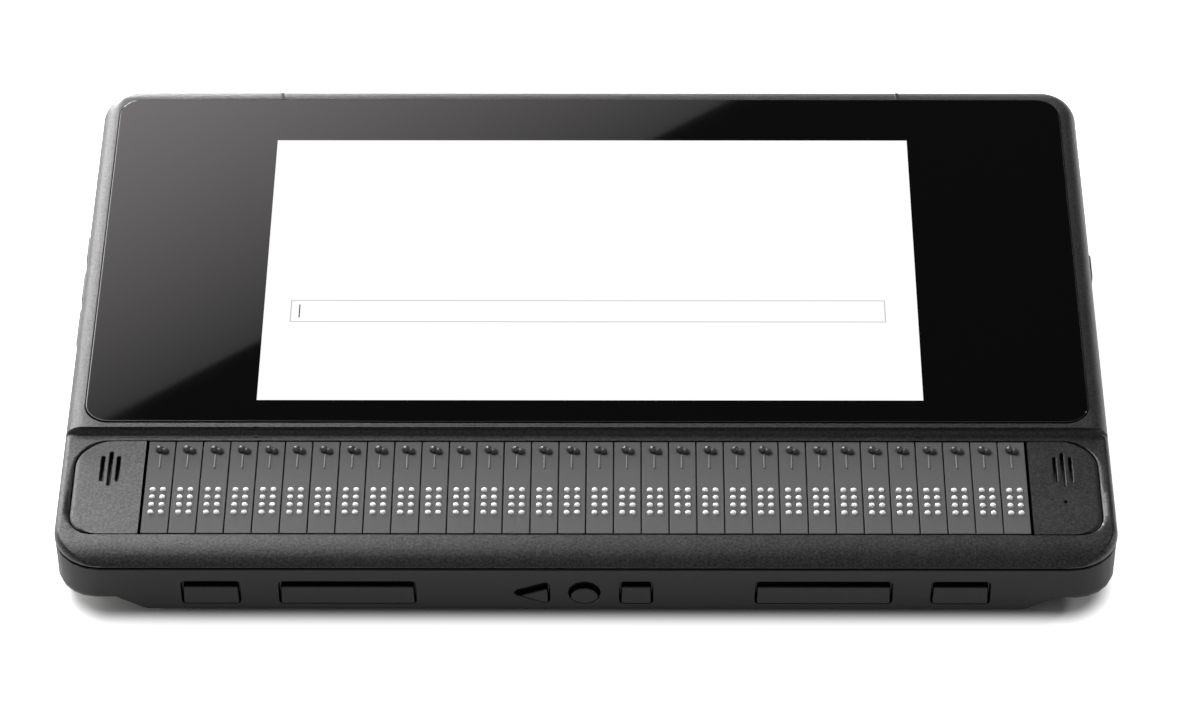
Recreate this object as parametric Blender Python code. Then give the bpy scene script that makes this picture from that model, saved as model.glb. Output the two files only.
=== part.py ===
"""Braille notetaker with a touch screen, modelled as the separate pieces it is assembled from.

A flat two-shell case carries a glass-covered display behind a row of refreshable braille cells,
with a routing key over each cell, thumb keys along the front edge and buttons on both sides.
Metres, +Z up, +Y away from the user. The origin is on the table, under the centre of the case.
"""

import math

import bmesh
import bpy
from mathutils import Matrix, Vector

MM = 0.001

# Case
CASE_WIDTH = 245.4 * MM
CASE_DEPTH = 166.5 * MM
FOOT_PROUD = 1.0 * MM
LOWER_SHELL_HEIGHT = 14.7 * MM
DECK_RISE = 2.1 * MM
SHELF_RISE = 1.9 * MM
FRONT_CORNER_RADIUS = 11.5 * MM
REAR_CORNER_RADIUS = 10.0 * MM
LOWER_CORNER_RADIUS = 8.5 * MM
LOWER_SHELL_DRAFT = 0.5 * MM
LOWER_EDGE_RADIUS = 1.2 * MM
LOWER_WALL = 2.0 * MM
UPPER_WALL = 2.2 * MM
SEAM_GAP = 0.3 * MM
SEAM_REBATE = 0.6 * MM
SEAM_REBATE_HEIGHT = 0.8 * MM
SEAM_CHAMFER = 0.2 * MM
GAP = 0.3 * MM
OVERRUN = 5.0 * MM

# Rounded edges of the upper shell
SIDE_EDGE_WIDTH = 2.8 * MM
SIDE_LIP = 0.3 * MM
NOSE_DEPTH = 7.0 * MM
NOSE_LIP = 0.35 * MM
REAR_EDGE_DEPTH = 3.5 * MM
REAR_LIP = 0.4 * MM

# Raised middle of the underside, and the wings beside it
WING_WIDTH = 22.2 * MM
PEDESTAL_FLARE = 5.1 * MM
WING_RISE = 3.1 * MM
WING_EDGE_RADIUS = 2.6 * MM

# Braille field, of two blocks of cells
MOST_CELLS_IN_BLOCK = 16
CELL_PITCH = 6.42 * MM
FIELD_MARGIN = 8.9 * MM
FIELD_DEPTH = 30.4 * MM
DOT_ROWS_FROM_FRONT = 10.6 * MM
DOT_ROWS = 4
DOT_COLUMN_PITCH = 2.4 * MM
DOT_ROW_PITCH = 2.47 * MM
DOT_DIAMETER = 1.5 * MM
DOT_HEIGHT = 0.55 * MM
CAP_GROOVE = 0.35 * MM
CELL_BODY_REACH = 42.0 * MM
CELL_BODY_HEIGHT = 8.5 * MM
BACKPLANE_END_MARGIN = 4.22 * MM
BACKPLANE_THICKNESS = 1.2 * MM

# Routing keys and the guide ridge in front of each
ROUTING_FROM_FRONT = 27.15 * MM
ROUTING_OFFSET_X = 0.22 * MM
ROUTING_LOBE_RADIUS = 0.95 * MM
ROUTING_LOBE_PITCH = 1.7 * MM
ROUTING_TILT = math.radians(-32.0)
ROUTING_HEIGHT = 0.08 * MM
ROUTING_DOME_HEIGHT = 0.5 * MM
ROUTING_DISH_HEIGHT = 0.22 * MM
ROUTING_DEPTH = 0.7 * MM
BALL_SHARE = 0.82
DISH_SHARE = 0.72
ROUTING_TRAVEL = 0.5 * MM
RIDGE_FROM_FRONT = 21.3 * MM
RIDGE_LENGTH = 4.6 * MM
RIDGE_WIDTH = 0.35 * MM
RIDGE_HEIGHT = 0.2 * MM

# End panels, with their sound slots and the microphone hole
PANEL_LENGTH = 16.3 * MM
LEAST_RIM = 3.0 * MM
PANEL_FRONT_RADIUS = 6.2 * MM
PANEL_REAR_RADIUS = 8.0 * MM
PANEL_THICKNESS = 1.8 * MM
PANEL_EDGE = 0.4 * MM
SLOT_WIDTH = 0.85 * MM
SLOT_PITCH = 1.83 * MM
SLOT_LENGTH = 8.2 * MM
MIDDLE_SLOT_LENGTH = 11.2 * MM
SLOTS_FROM_FRONT = 21.25 * MM
SLOT_END_RADIUS = 0.38 * MM
MICROPHONE_DIAMETER = 1.0 * MM
SPEAKER_WIDTH = 11.5 * MM
SPEAKER_LENGTH = 16.0 * MM
SPEAKER_CONE_DIAMETER = 9.0 * MM
SPEAKER_CONE_DEPTH = 0.8 * MM
SPEAKER_EDGE = 0.5 * MM

# Step up to the screen shelf, glass and display
STEP_MARGIN = 0.6 * MM
STEP_LENGTH = 2.3 * MM
GLASS_FRONT_MARGIN = 1.1 * MM
GLASS_REAR_MARGIN = 6.4 * MM
GLASS_SIDE_MARGIN = 4.4 * MM
GLASS_RADIUS = 5.8 * MM
GLASS_THICKNESS = 1.1 * MM
GLASS_PROUD = 0.3 * MM
GLASS_EDGE = 0.5 * MM
DISPLAY_LEFT_MARGIN = 40.3 * MM
DISPLAY_RIGHT_MARGIN = 38.8 * MM
DISPLAY_FRONT_MARGIN = 7.7 * MM
DISPLAY_REAR_MARGIN = 15.1 * MM
DISPLAY_BORDER = 4.0 * MM
DISPLAY_THICKNESS = 3.1 * MM

# Raised marks that line up with the ends of the display
MARK_INSET = 1.05 * MM
MARK_WIDTH = 0.8 * MM
MARK_HEIGHT = 0.3 * MM
REAR_MARK_LENGTH = 2.6 * MM
REAR_MARK_INSET = 3.0 * MM

# Keys along the front edge
KEY_FLOOR = 2.7 * MM
KEY_HEIGHT = 7.1 * MM
KEY_RECESS = 0.1 * MM
KEY_TRAVEL = 0.8 * MM
KEY_CORNER_RADIUS = 0.8 * MM
KEY_LEDGE_DROP = 2.0 * MM
CIRCLE_LEDGE_DROP = 2.5 * MM
KEY_LEDGE_DEPTH = 1.6 * MM
KEY_FLANGE_WIDTH = 0.9 * MM
KEY_FLANGE_THICKNESS = 1.2 * MM
SMALL_KEY_SIDE_MARGIN = 36.35 * MM
SMALL_KEY_WIDTH = 13.2 * MM
LARGE_KEY_WIDTH = 31.2 * MM
KEY_SPACING = 9.3 * MM
TRIANGLE_KEY_X = -13.07 * MM
TRIANGLE_KEY_WIDTH = 9.25 * MM
CIRCLE_KEY_X = -0.3 * MM
CIRCLE_KEY_DIAMETER = 7.1 * MM
SQUARE_KEY_X = 11.65 * MM
SQUARE_KEY_WIDTH = 7.3 * MM
KEY_BOARD_END_MARGIN = 0.3 * MM
KEY_BOARD_HEIGHT = 9.0 * MM
KEY_BOARD_THICKNESS = 1.0 * MM
SWITCH_SIZE = 3.6 * MM
SWITCH_HEIGHT = 1.5 * MM

# Buttons on the sides
BUTTON_HEIGHT = 4.0 * MM
BUTTON_RISE = 10.0 * MM
BUTTON_PROUD = 0.9 * MM
BUTTON_RADIUS = 1.6 * MM
BUTTON_EDGE = 0.35 * MM
BUTTON_TRAVEL = 0.5 * MM
BUTTON_FLANGE_WIDTH = 0.6 * MM
BUTTON_FLANGE_THICKNESS = 1.0 * MM
# Name, side of the case, distance of the middle from the rear, length
SIDE_BUTTONS = (
    ("media_button", -1, 54.0 * MM, 10.0 * MM),
    ("volume_up_button", -1, 67.9 * MM, 11.4 * MM),
    ("volume_down_button", -1, 82.0 * MM, 13.4 * MM),
    ("power_button", 1, 60.0 * MM, 9.0 * MM),
)

# Battery and its door in the underside
BATTERY_WIDTH = 148.0 * MM
BATTERY_HEIGHT = 9.5 * MM
BATTERY_FRONT_MARGIN = 5.1 * MM
BATTERY_REAR_MARGIN = 5.35 * MM
BATTERY_EDGE = 1.2 * MM
DOOR_THICKNESS = 0.9 * MM
DOOR_LEDGE = 3.0 * MM
DOOR_RADIUS = 3.0 * MM
DOOR_NOTCH_DIAMETER = 14.0 * MM
DOOR_NOTCH_DEPTH = 0.45 * MM

# Main board with its ports along the rear wall
BOARD_SIDE_MARGIN = 30.7 * MM
BOARD_DEPTH = 30.0 * MM
BOARD_THICKNESS = 1.6 * MM
BOARD_STANDOFF = 2.7 * MM
BOARD_REAR_MARGIN = 2.9 * MM
PORT_SETBACK = 0.4 * MM
PORT_WALL = 0.4 * MM
PORT_BODY_DEPTH = 12.0 * MM
PORT_HOLLOW_DEPTH = 9.0 * MM
PORT_END_MARGIN = 24.0 * MM
USB_SPACING = 24.0 * MM
AUDIO_SPACING = 20.0 * MM
USB_WIDTH = 13.2 * MM
USB_HEIGHT = 5.8 * MM
VIDEO_WIDTH = 15.0 * MM
VIDEO_HEIGHT = 5.4 * MM
CHARGE_WIDTH = 9.0 * MM
CHARGE_HEIGHT = 3.3 * MM
AUDIO_SIZE = 6.0 * MM
AUDIO_BORE = 3.6 * MM
TONGUE_THICKNESS = 1.4 * MM
TONGUE_OFFSET = 0.5 * MM
TONGUE_MARGIN = 1.4 * MM
SHIELD_WIDTH = 34.0 * MM
SHIELD_DEPTH = 20.0 * MM
SHIELD_HEIGHT = 2.4 * MM

# Screw bosses, ribs and feet
BOSS_DIAMETER = 7.6 * MM
COUNTERBORE_DIAMETER = 5.0 * MM
COUNTERBORE_DEPTH = 2.6 * MM
FRONT_BOSS_SIDE_MARGIN = 10.7 * MM
FRONT_BOSS_SETBACK = 15.95 * MM
REAR_BOSS_SIDE_MARGIN = 11.7 * MM
REAR_BOSS_MARGIN = 15.25 * MM
RIB_COUNT = 5
RIB_END_MARGIN = 18.72 * MM
RIB_THICKNESS = 1.2 * MM
RIB_HEIGHT = 1.9 * MM
STANDOFF_DIAMETER = 5.0 * MM
FOOT_LENGTH = 130.0 * MM
FOOT_WIDTH = 6.0 * MM
FOOT_SEAT_DEPTH = 0.6 * MM
FOOT_EDGE = 0.3 * MM
FOOT_END_RADIUS = 2.7 * MM
FRONT_FOOT_MARGIN = 14.0 * MM
REAR_FOOT_MARGIN = 10.0 * MM

# Smoothness
CORNER_SEGMENTS = 5
SMALL_CORNER_SEGMENTS = 2
EDGE_SEGMENTS = 4
WING_EDGE_SEGMENTS = 3
LOWER_EDGE_SEGMENTS = 2
STEP_SEGMENTS = 5
DOT_SIDES = 5
LOBE_SIDES = 6
LOBE_ARC_POINTS = 4
SMALL_HOLE_SIDES = 8
HOLE_SIDES = 12
DOME_TOP_SHARE = 0.5
SUNK = 0.05 * MM
WELD_DISTANCE = 0.001 * MM

# Levels above the table, and places along the depth, that several pieces share
UNDERSIDE_Z = FOOT_PROUD
WING_Z = UNDERSIDE_Z + WING_RISE
FLOOR_Z = UNDERSIDE_Z + LOWER_WALL
PARTING_Z = UNDERSIDE_Z + LOWER_SHELL_HEIGHT
DECK_Z = PARTING_Z + DECK_RISE
SHELF_Z = DECK_Z + SHELF_RISE
GLASS_Z = SHELF_Z + GLASS_PROUD
FRONT_Y = -CASE_DEPTH / 2
REAR_Y = CASE_DEPTH / 2
FIELD_FRONT_Y = FRONT_Y + FIELD_MARGIN
FIELD_REAR_Y = FIELD_FRONT_Y + FIELD_DEPTH
CELLS_THAT_FIT = int((CASE_WIDTH / 2 - LEAST_RIM - PANEL_LENGTH - GAP) / CELL_PITCH)
CELLS_PER_BLOCK = min(MOST_CELLS_IN_BLOCK, CELLS_THAT_FIT)
CELL_COUNT = 2 * CELLS_PER_BLOCK
FIELD_HALF_WIDTH = CELL_COUNT * CELL_PITCH / 2
PANEL_INNER_X = FIELD_HALF_WIDTH + GAP
PANEL_OUTER_X = PANEL_INNER_X + PANEL_LENGTH
STEP_FOOT_Y = FIELD_REAR_Y + STEP_MARGIN
STEP_TOP_Y = STEP_FOOT_Y + STEP_LENGTH
GLASS_FRONT_Y = STEP_TOP_Y + GLASS_FRONT_MARGIN
GLASS_REAR_Y = REAR_Y - GLASS_REAR_MARGIN
GLASS_SIDE_X = CASE_WIDTH / 2 - GLASS_SIDE_MARGIN
DISPLAY_LOW = Vector((-GLASS_SIDE_X + DISPLAY_LEFT_MARGIN, GLASS_FRONT_Y + DISPLAY_FRONT_MARGIN))
DISPLAY_HIGH = Vector((GLASS_SIDE_X - DISPLAY_RIGHT_MARGIN, GLASS_REAR_Y - DISPLAY_REAR_MARGIN))
MARK_X = (DISPLAY_HIGH.x - DISPLAY_LOW.x) / 2 - MARK_INSET
BACKPLANE_Z = FLOOR_Z + RIB_HEIGHT + GAP
CELL_BODY_Z = BACKPLANE_Z + BACKPLANE_THICKNESS + GAP
BOARD_Z = FLOOR_Z + BOARD_STANDOFF + GAP
BOARD_TOP_Z = BOARD_Z + BOARD_THICKNESS
KEY_Z = UNDERSIDE_Z + KEY_FLOOR
KEY_MIDDLE_Z = KEY_Z + KEY_HEIGHT / 2
SMALL_KEY_X = CASE_WIDTH / 2 - SMALL_KEY_SIDE_MARGIN
LARGE_KEY_X = SMALL_KEY_X - SMALL_KEY_WIDTH / 2 - KEY_SPACING - LARGE_KEY_WIDTH / 2
BUTTON_Z = UNDERSIDE_Z + BUTTON_RISE
PEDESTAL_HALF_WIDTH = CASE_WIDTH / 2 - WING_WIDTH
CELL_BODY_REAR_Y = FIELD_REAR_Y - GAP / 2 + CELL_BODY_REACH
BOARD_HALF_WIDTH = CASE_WIDTH / 2 - BOARD_SIDE_MARGIN
BOARD_REAR_Y = REAR_Y - BOARD_REAR_MARGIN
BOARD_FRONT_Y = BOARD_REAR_Y - BOARD_DEPTH
BATTERY_DEPTH = BOARD_FRONT_Y - BATTERY_REAR_MARGIN - CELL_BODY_REAR_Y - BATTERY_FRONT_MARGIN
BATTERY_CENTRE_Y = CELL_BODY_REAR_Y + BATTERY_FRONT_MARGIN + BATTERY_DEPTH / 2
VIDEO_X = BOARD_HALF_WIDTH - PORT_END_MARGIN
USB_X = VIDEO_X - USB_SPACING
CHARGE_X = -BOARD_HALF_WIDTH + PORT_END_MARGIN
AUDIO_X = CHARGE_X + AUDIO_SPACING
FRONT_BOSS = Vector((CASE_WIDTH / 2 - FRONT_BOSS_SIDE_MARGIN, FIELD_REAR_Y + FRONT_BOSS_SETBACK))
REAR_BOSS = Vector((CASE_WIDTH / 2 - REAR_BOSS_SIDE_MARGIN, REAR_Y - REAR_BOSS_MARGIN))
BOSS_PLACES = [(side * place.x, place.y) for place in (FRONT_BOSS, REAR_BOSS) for side in (-1, 1)]

FACING_UP = Matrix.Identity(3)
FACING_FRONT = Matrix(((1, 0, 0), (0, 0, -1), (0, 1, 0)))
FACING_RIGHT = Matrix(((0, 0, 1), (1, 0, 0), (0, 1, 0)))


def collection(name):
    made = bpy.data.collections.new(name)
    bpy.context.scene.collection.children.link(made)
    return made


def material(name, colour, roughness, metallic=0.0):
    made = bpy.data.materials.new(name)
    made.use_nodes = True
    shader = made.node_tree.nodes["Principled BSDF"]
    shader.inputs["Base Color"].default_value = (*colour, 1.0)
    shader.inputs["Roughness"].default_value = roughness
    shader.inputs["Metallic"].default_value = metallic
    return made


for leftover in list(bpy.data.objects):
    bpy.data.objects.remove(leftover)
PARTS = collection("braille_notetaker")
CUTTERS = collection("cutters")
CASE_PLASTIC = material("textured case plastic", (0.07, 0.07, 0.075), 0.6)
LOWER_PLASTIC = material("smooth case plastic", (0.03, 0.03, 0.032), 0.45)
KEY_PLASTIC = material("key plastic", (0.028, 0.028, 0.03), 0.4)
CAP_PLASTIC = material("braille cap plastic", (0.11, 0.11, 0.11), 0.5)
ROUTING_PLASTIC = material("routing key plastic", (0.08, 0.08, 0.08), 0.3)
GLASS = material("cover glass", (0.012, 0.012, 0.014), 0.05)
DISPLAY = material("display", (0.8, 0.8, 0.8), 0.3)
CIRCUIT = material("circuit board", (0.01, 0.07, 0.03), 0.4)
CELL_WRAP = material("battery wrap", (0.02, 0.02, 0.02), 0.5)
RUBBER = material("foot rubber", (0.02, 0.02, 0.02), 0.85)
SPEAKER_METAL = material("speaker steel", (0.3, 0.3, 0.3), 0.4, 0.9)


# Outlines

def rounded_outline(corners, segments):
    """Points of a closed outline from (x, y, radius) corners, each corner rounded with an arc."""
    points = []
    for index, (x, y, radius) in enumerate(corners):
        corner = Vector((x, y))
        before = (Vector(corners[index - 1][:2]) - corner).normalized()
        after = (Vector(corners[(index + 1) % len(corners)][:2]) - corner).normalized()
        if radius == 0:
            points.append(corner)
            continue
        half = before.angle(after) / 2
        centre = corner + (before + after).normalized() * radius / math.sin(half)
        start = corner + before * radius / math.tan(half) - centre
        turn = math.pi - 2 * half
        if before.cross(after) > 0:
            turn = -turn
        for step in range(segments + 1):
            points.append(centre + Matrix.Rotation(turn * step / segments, 2) @ start)
    return points


def rectangle(width, depth, radius=0.0, centre=(0.0, 0.0), segments=SMALL_CORNER_SEGMENTS):
    x, y = centre
    corners = [(x + side * width / 2, y + end * depth / 2, radius)
               for side, end in ((-1, -1), (1, -1), (1, 1), (-1, 1))]
    return rounded_outline(corners, segments)


def circle(diameter, centre=(0.0, 0.0), sides=HOLE_SIDES):
    return [Vector(centre) + Matrix.Rotation(2 * math.pi * step / sides, 2) @ Vector((diameter / 2, 0))
            for step in range(sides)]


def grown(outline, distance):
    """A convex outline, wound anticlockwise, moved outwards all round by a distance."""
    points = []
    for index, point in enumerate(outline):
        before = (point - outline[index - 1]).normalized()
        after = (outline[(index + 1) % len(outline)] - point).normalized()
        normals = Vector((before.y, -before.x)), Vector((after.y, -after.x))
        both = normals[0] + normals[1]
        points.append(point + both * distance / (1 + normals[0].dot(normals[1])))
    return points


def shifted(outline, x, y):
    return [point + Vector((x, y)) for point in outline]


# Solids

def add_object(name, bm, surface, group=None):
    """Put a bmesh into the scene as an object, with its faces pointing out."""
    bmesh.ops.recalc_face_normals(bm, faces=bm.faces)
    mesh = bpy.data.meshes.new(name)
    bm.to_mesh(mesh)
    bm.free()
    if surface:
        mesh.materials.append(surface)
    made = bpy.data.objects.new(name, mesh)
    (group or PARTS).objects.link(made)
    if group is CUTTERS:
        mark_as_cutter(made)
    return made


def mark_as_cutter(made):
    made.hide_render = True
    made.display_type = 'WIRE'


def prism(name, outline, start, end, facing=FACING_UP, surface=None, edge=0.0, edge_steps=1, group=None):
    """An outline extruded from one level to another, with the edge at its far end softened.

    It is drawn as a filled 2D curve and turned into a mesh, so that it can be cut and joined.
    """
    curve = bpy.data.curves.new(name, 'CURVE')
    curve.dimensions = '2D'
    curve.fill_mode = 'BOTH'
    curve.extrude = (end - start) / 2
    spline = curve.splines.new('POLY')
    spline.points.add(len(outline) - 1)
    for point, (x, y) in zip(spline.points, outline):
        point.co = (x, y, 0.0, 1.0)
    spline.use_cyclic_u = True
    drawn = bpy.data.objects.new(name, curve)
    bpy.context.scene.collection.objects.link(drawn)
    evaluated = drawn.evaluated_get(bpy.context.evaluated_depsgraph_get())
    mesh = bpy.data.meshes.new_from_object(evaluated)
    bpy.data.objects.remove(drawn)
    bm = bmesh.new()
    bm.from_mesh(mesh)
    bpy.data.meshes.remove(mesh)
    bmesh.ops.remove_doubles(bm, verts=bm.verts, dist=WELD_DISTANCE)
    bmesh.ops.dissolve_limit(bm, angle_limit=math.radians(0.5), verts=bm.verts, edges=bm.edges)
    if edge:
        top = [rim for rim in bm.edges if all(vertex.co.z > 0 for vertex in rim.verts)]
        bmesh.ops.bevel(bm, geom=top, offset=edge, segments=edge_steps, affect='EDGES')
    place = facing.to_4x4() @ Matrix.Translation((0, 0, (start + end) / 2))
    bmesh.ops.transform(bm, matrix=place, verts=bm.verts)
    return add_object(name, bm, surface, group)


def box(name, low, high, surface=None, edge=0.0, group=None):
    """A box between two corners, with all its edges softened."""
    low, high = Vector(low), Vector(high)
    bm = bmesh.new()
    size = Matrix.Diagonal((*(high - low), 1.0))
    bmesh.ops.create_cube(bm, size=1.0, matrix=Matrix.Translation((low + high) / 2) @ size)
    if edge:
        bmesh.ops.bevel(bm, geom=bm.edges[:], offset=edge, segments=1, affect='EDGES')
    return add_object(name, bm, surface, group)


def loft(name, rings, surface=None, group=None):
    """A closed solid through rings of equally many points, capped at both ends."""
    bm = bmesh.new()
    rows = [[bm.verts.new(point) for point in ring] for ring in rings]
    for lower, upper in zip(rows, rows[1:]):
        for index in range(len(lower)):
            bm.faces.new((lower[index - 1], lower[index], upper[index], upper[index - 1]))
    bm.faces.new(rows[0])
    bm.faces.new(rows[-1])
    return add_object(name, bm, surface, group)


def repeated(name, source, places, group=None):
    """One mesh that holds a copy of another object's mesh at each place; the source is removed."""
    bm = bmesh.new()
    for place in places:
        before = len(bm.verts)
        bm.from_mesh(source.data)
        bm.verts.ensure_lookup_table()
        bmesh.ops.translate(bm, vec=Vector(place), verts=bm.verts[before:])
    bpy.data.objects.remove(source)
    return add_object(name, bm, None, group or CUTTERS)


def combine(target, tool, operation='DIFFERENCE'):
    """Cut, join or intersect the target with a tool that is kept in the cutters' collection."""
    for group in list(tool.users_collection):
        group.objects.unlink(tool)
    CUTTERS.objects.link(tool)
    mark_as_cutter(tool)
    step = target.modifiers.new(tool.name, 'BOOLEAN')
    step.object = tool
    step.operation = operation


def join(target, tool):
    combine(target, tool, 'UNION')


def set_origin(made, place):
    """Move an object's origin to a place without moving its mesh."""
    made.data.transform(Matrix.Translation(-Vector(place)))
    made.location = place


def finished_mesh(template):
    """The mesh that an object's modifiers give; the object and its tools are removed."""
    evaluated = template.evaluated_get(bpy.context.evaluated_depsgraph_get())
    mesh = bpy.data.meshes.new_from_object(evaluated)
    tools = [step.object for step in template.modifiers]
    bpy.data.objects.remove(template)
    for tool in tools:
        bpy.data.objects.remove(tool)
    return mesh


# Upper shell

def shell_height(y):
    """Height of the upper shell's outer surface along its middle: nose, deck, step, shelf, rear edge."""
    y = min(max(y, FRONT_Y), REAR_Y)
    climb = min(max((y - STEP_FOOT_Y) / STEP_LENGTH, 0.0), 1.0)
    height = DECK_Z + SHELF_RISE * (0.5 - 0.5 * math.cos(math.pi * climb))
    if y < FRONT_Y + NOSE_DEPTH:
        reach = (FRONT_Y + NOSE_DEPTH - y) / NOSE_DEPTH
        height -= (DECK_RISE - NOSE_LIP) * (1 - math.sqrt(max(1 - reach ** 2, 0.0)))
    if y > REAR_Y - REAR_EDGE_DEPTH:
        reach = (y - REAR_Y + REAR_EDGE_DEPTH) / REAR_EDGE_DEPTH
        height -= (DECK_RISE + SHELF_RISE - REAR_LIP) * (1 - math.sqrt(max(1 - reach ** 2, 0.0)))
    return height


def half_width(y, inset):
    """Half the upper shell's width at a depth, round its plan corners."""
    half = CASE_WIDTH / 2 - inset
    front, rear = FRONT_CORNER_RADIUS - inset, REAR_CORNER_RADIUS - inset
    into_front = max(FRONT_Y + FRONT_CORNER_RADIUS - y, 0.0)
    into_rear = max(y - REAR_Y + REAR_CORNER_RADIUS, 0.0)
    half -= front - math.sqrt(max(front ** 2 - into_front ** 2, 0.0))
    half -= rear - math.sqrt(max(rear ** 2 - into_rear ** 2, 0.0))
    return half


def shell_section(y, inset, bottom):
    """One section across the upper shell: upright sides that turn into the top along an ellipse."""
    half = half_width(y, inset)
    top = min(shell_height(y - inset), shell_height(y + inset)) - inset
    spring = PARTING_Z + SIDE_LIP - inset
    edge = max(SIDE_EDGE_WIDTH - inset, GAP)
    angles = [math.pi / 2 * step / EDGE_SEGMENTS for step in range(EDGE_SEGMENTS + 1)]
    right = [(half - edge + edge * math.cos(angle), spring + (top - spring) * math.sin(angle))
             for angle in angles]
    left = [(-x, z) for x, z in reversed(right)]
    return [Vector((x, y, z)) for x, z in [(half, bottom)] + right + left + [(-half, bottom)]]


def shell_stations(inset):
    """Depths at which the upper shell is sectioned, closer together where it curves."""
    front, rear = FRONT_Y + inset, REAR_Y - inset
    places = []
    for step in range(CORNER_SEGMENTS + 1):
        ease = 1 - math.cos(math.pi / 2 * step / CORNER_SEGMENTS)
        places += [front + ease * (FRONT_CORNER_RADIUS - inset), rear - ease * (REAR_CORNER_RADIUS - inset)]
        places += [front + ease * NOSE_DEPTH, rear - ease * REAR_EDGE_DEPTH]
    for step in range(STEP_SEGMENTS + 1):
        places.append(STEP_FOOT_Y + inset + STEP_LENGTH * step / STEP_SEGMENTS)
    kept = [front]
    for place in sorted(places):
        if place - kept[-1] > GAP and rear - place > GAP:
            kept.append(place)
    return kept + [rear]


def upper_shell(name, inset, bottom, surface=None, group=None):
    rings = [shell_section(y, inset, bottom) for y in shell_stations(inset)]
    return loft(name, rings, surface, group)


def glass_outline():
    depth = GLASS_REAR_Y - GLASS_FRONT_Y
    middle = (0, (GLASS_FRONT_Y + GLASS_REAR_Y) / 2)
    return rectangle(2 * GLASS_SIDE_X, depth, GLASS_RADIUS, middle, CORNER_SEGMENTS)


def display_outline():
    width, depth = DISPLAY_HIGH - DISPLAY_LOW
    centre = (DISPLAY_LOW + DISPLAY_HIGH) / 2
    return rectangle(width + 2 * DISPLAY_BORDER, depth + 2 * DISPLAY_BORDER, 0.0, centre)


def window_outline():
    """Outline of the braille field with both end panels."""
    corners = [(-PANEL_OUTER_X, FIELD_FRONT_Y, PANEL_FRONT_RADIUS),
               (PANEL_OUTER_X, FIELD_FRONT_Y, PANEL_FRONT_RADIUS),
               (PANEL_OUTER_X, FIELD_REAR_Y, PANEL_REAR_RADIUS),
               (-PANEL_OUTER_X, FIELD_REAR_Y, PANEL_REAR_RADIUS)]
    return rounded_outline(corners, CORNER_SEGMENTS)


def make_top_case():
    case = upper_shell("top_case", 0.0, PARTING_Z + SEAM_GAP / 2, CASE_PLASTIC)
    combine(case, upper_shell("top_case_hollow", UPPER_WALL, UNDERSIDE_Z))
    for x, y in BOSS_PLACES:
        boss = prism("top_boss", circle(BOSS_DIAMETER, (x, y)), PARTING_Z + SEAM_GAP / 2 + GAP / 2,
                     SHELF_Z - UPPER_WALL + GAP)
        join(case, boss)
    recess_floor = GLASS_Z - GLASS_THICKNESS - GAP
    combine(case, prism("glass_recess", grown(glass_outline(), GAP), recess_floor, GLASS_Z + OVERRUN))
    combine(case, prism("display_window", grown(display_outline(), GAP), UNDERSIDE_Z, GLASS_Z))
    combine(case, prism("braille_window", grown(window_outline(), GAP), UNDERSIDE_Z, GLASS_Z))
    for side in (-1, 1):
        for mark in (front_mark(side * MARK_X), rear_mark(side * MARK_X)):
            join(case, mark)


def front_mark(x):
    """A ridge that climbs the step beside the display's end."""
    sunk = MARK_HEIGHT
    foot, top = STEP_FOOT_Y + MARK_WIDTH / 2, STEP_TOP_Y + MARK_WIDTH / 2
    profile = [Vector((foot, DECK_Z - sunk)), Vector((top, SHELF_Z - sunk)),
               Vector((top, SHELF_Z + MARK_HEIGHT)), Vector((foot, DECK_Z + MARK_HEIGHT))]
    return prism("front_mark", profile, x - MARK_WIDTH / 2, x + MARK_WIDTH / 2, FACING_RIGHT)


def rear_mark(x):
    """A short ridge on the rear rim, in line with the one on the step."""
    rear = REAR_Y - REAR_MARK_INSET
    return box("rear_mark", (x - MARK_WIDTH / 2, rear - REAR_MARK_LENGTH, SHELF_Z - MARK_HEIGHT),
               (x + MARK_WIDTH / 2, rear, SHELF_Z + MARK_HEIGHT))


# Lower shell

def draft_at(z):
    """How far the lower shell's wall has drawn in at a height."""
    return LOWER_SHELL_DRAFT * (PARTING_Z - z) / LOWER_SHELL_HEIGHT


def lower_ring(z, inset):
    """Outline of the lower shell's outer wall at a height, moved inwards all round."""
    blend = (PARTING_Z - z) / LOWER_SHELL_HEIGHT
    front = FRONT_CORNER_RADIUS + (LOWER_CORNER_RADIUS - FRONT_CORNER_RADIUS) * blend - inset
    rear = REAR_CORNER_RADIUS + (LOWER_CORNER_RADIUS - REAR_CORNER_RADIUS) * blend - inset
    x, y = CASE_WIDTH / 2 - draft_at(z) - inset, CASE_DEPTH / 2 - draft_at(z) - inset
    corners = [(-x, -y, front), (x, -y, front), (x, y, rear), (-x, y, rear)]
    return [Vector((point.x, point.y, z)) for point in rounded_outline(corners, CORNER_SEGMENTS)]


def tub(name, upper_rings, inset, floor, edge=0.0, steps=0, surface=None, group=None):
    """The lower shell's drafted form below its upper rings, rounded all round where it meets its floor."""
    rings = list(upper_rings)
    for step in range(steps + 1):
        angle = math.pi / 2 * step / max(steps, 1)
        rings.append(lower_ring(floor + edge * (1 - math.sin(angle)), inset + edge * (1 - math.cos(angle))))
    return loft(name, rings, surface, group)


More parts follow.
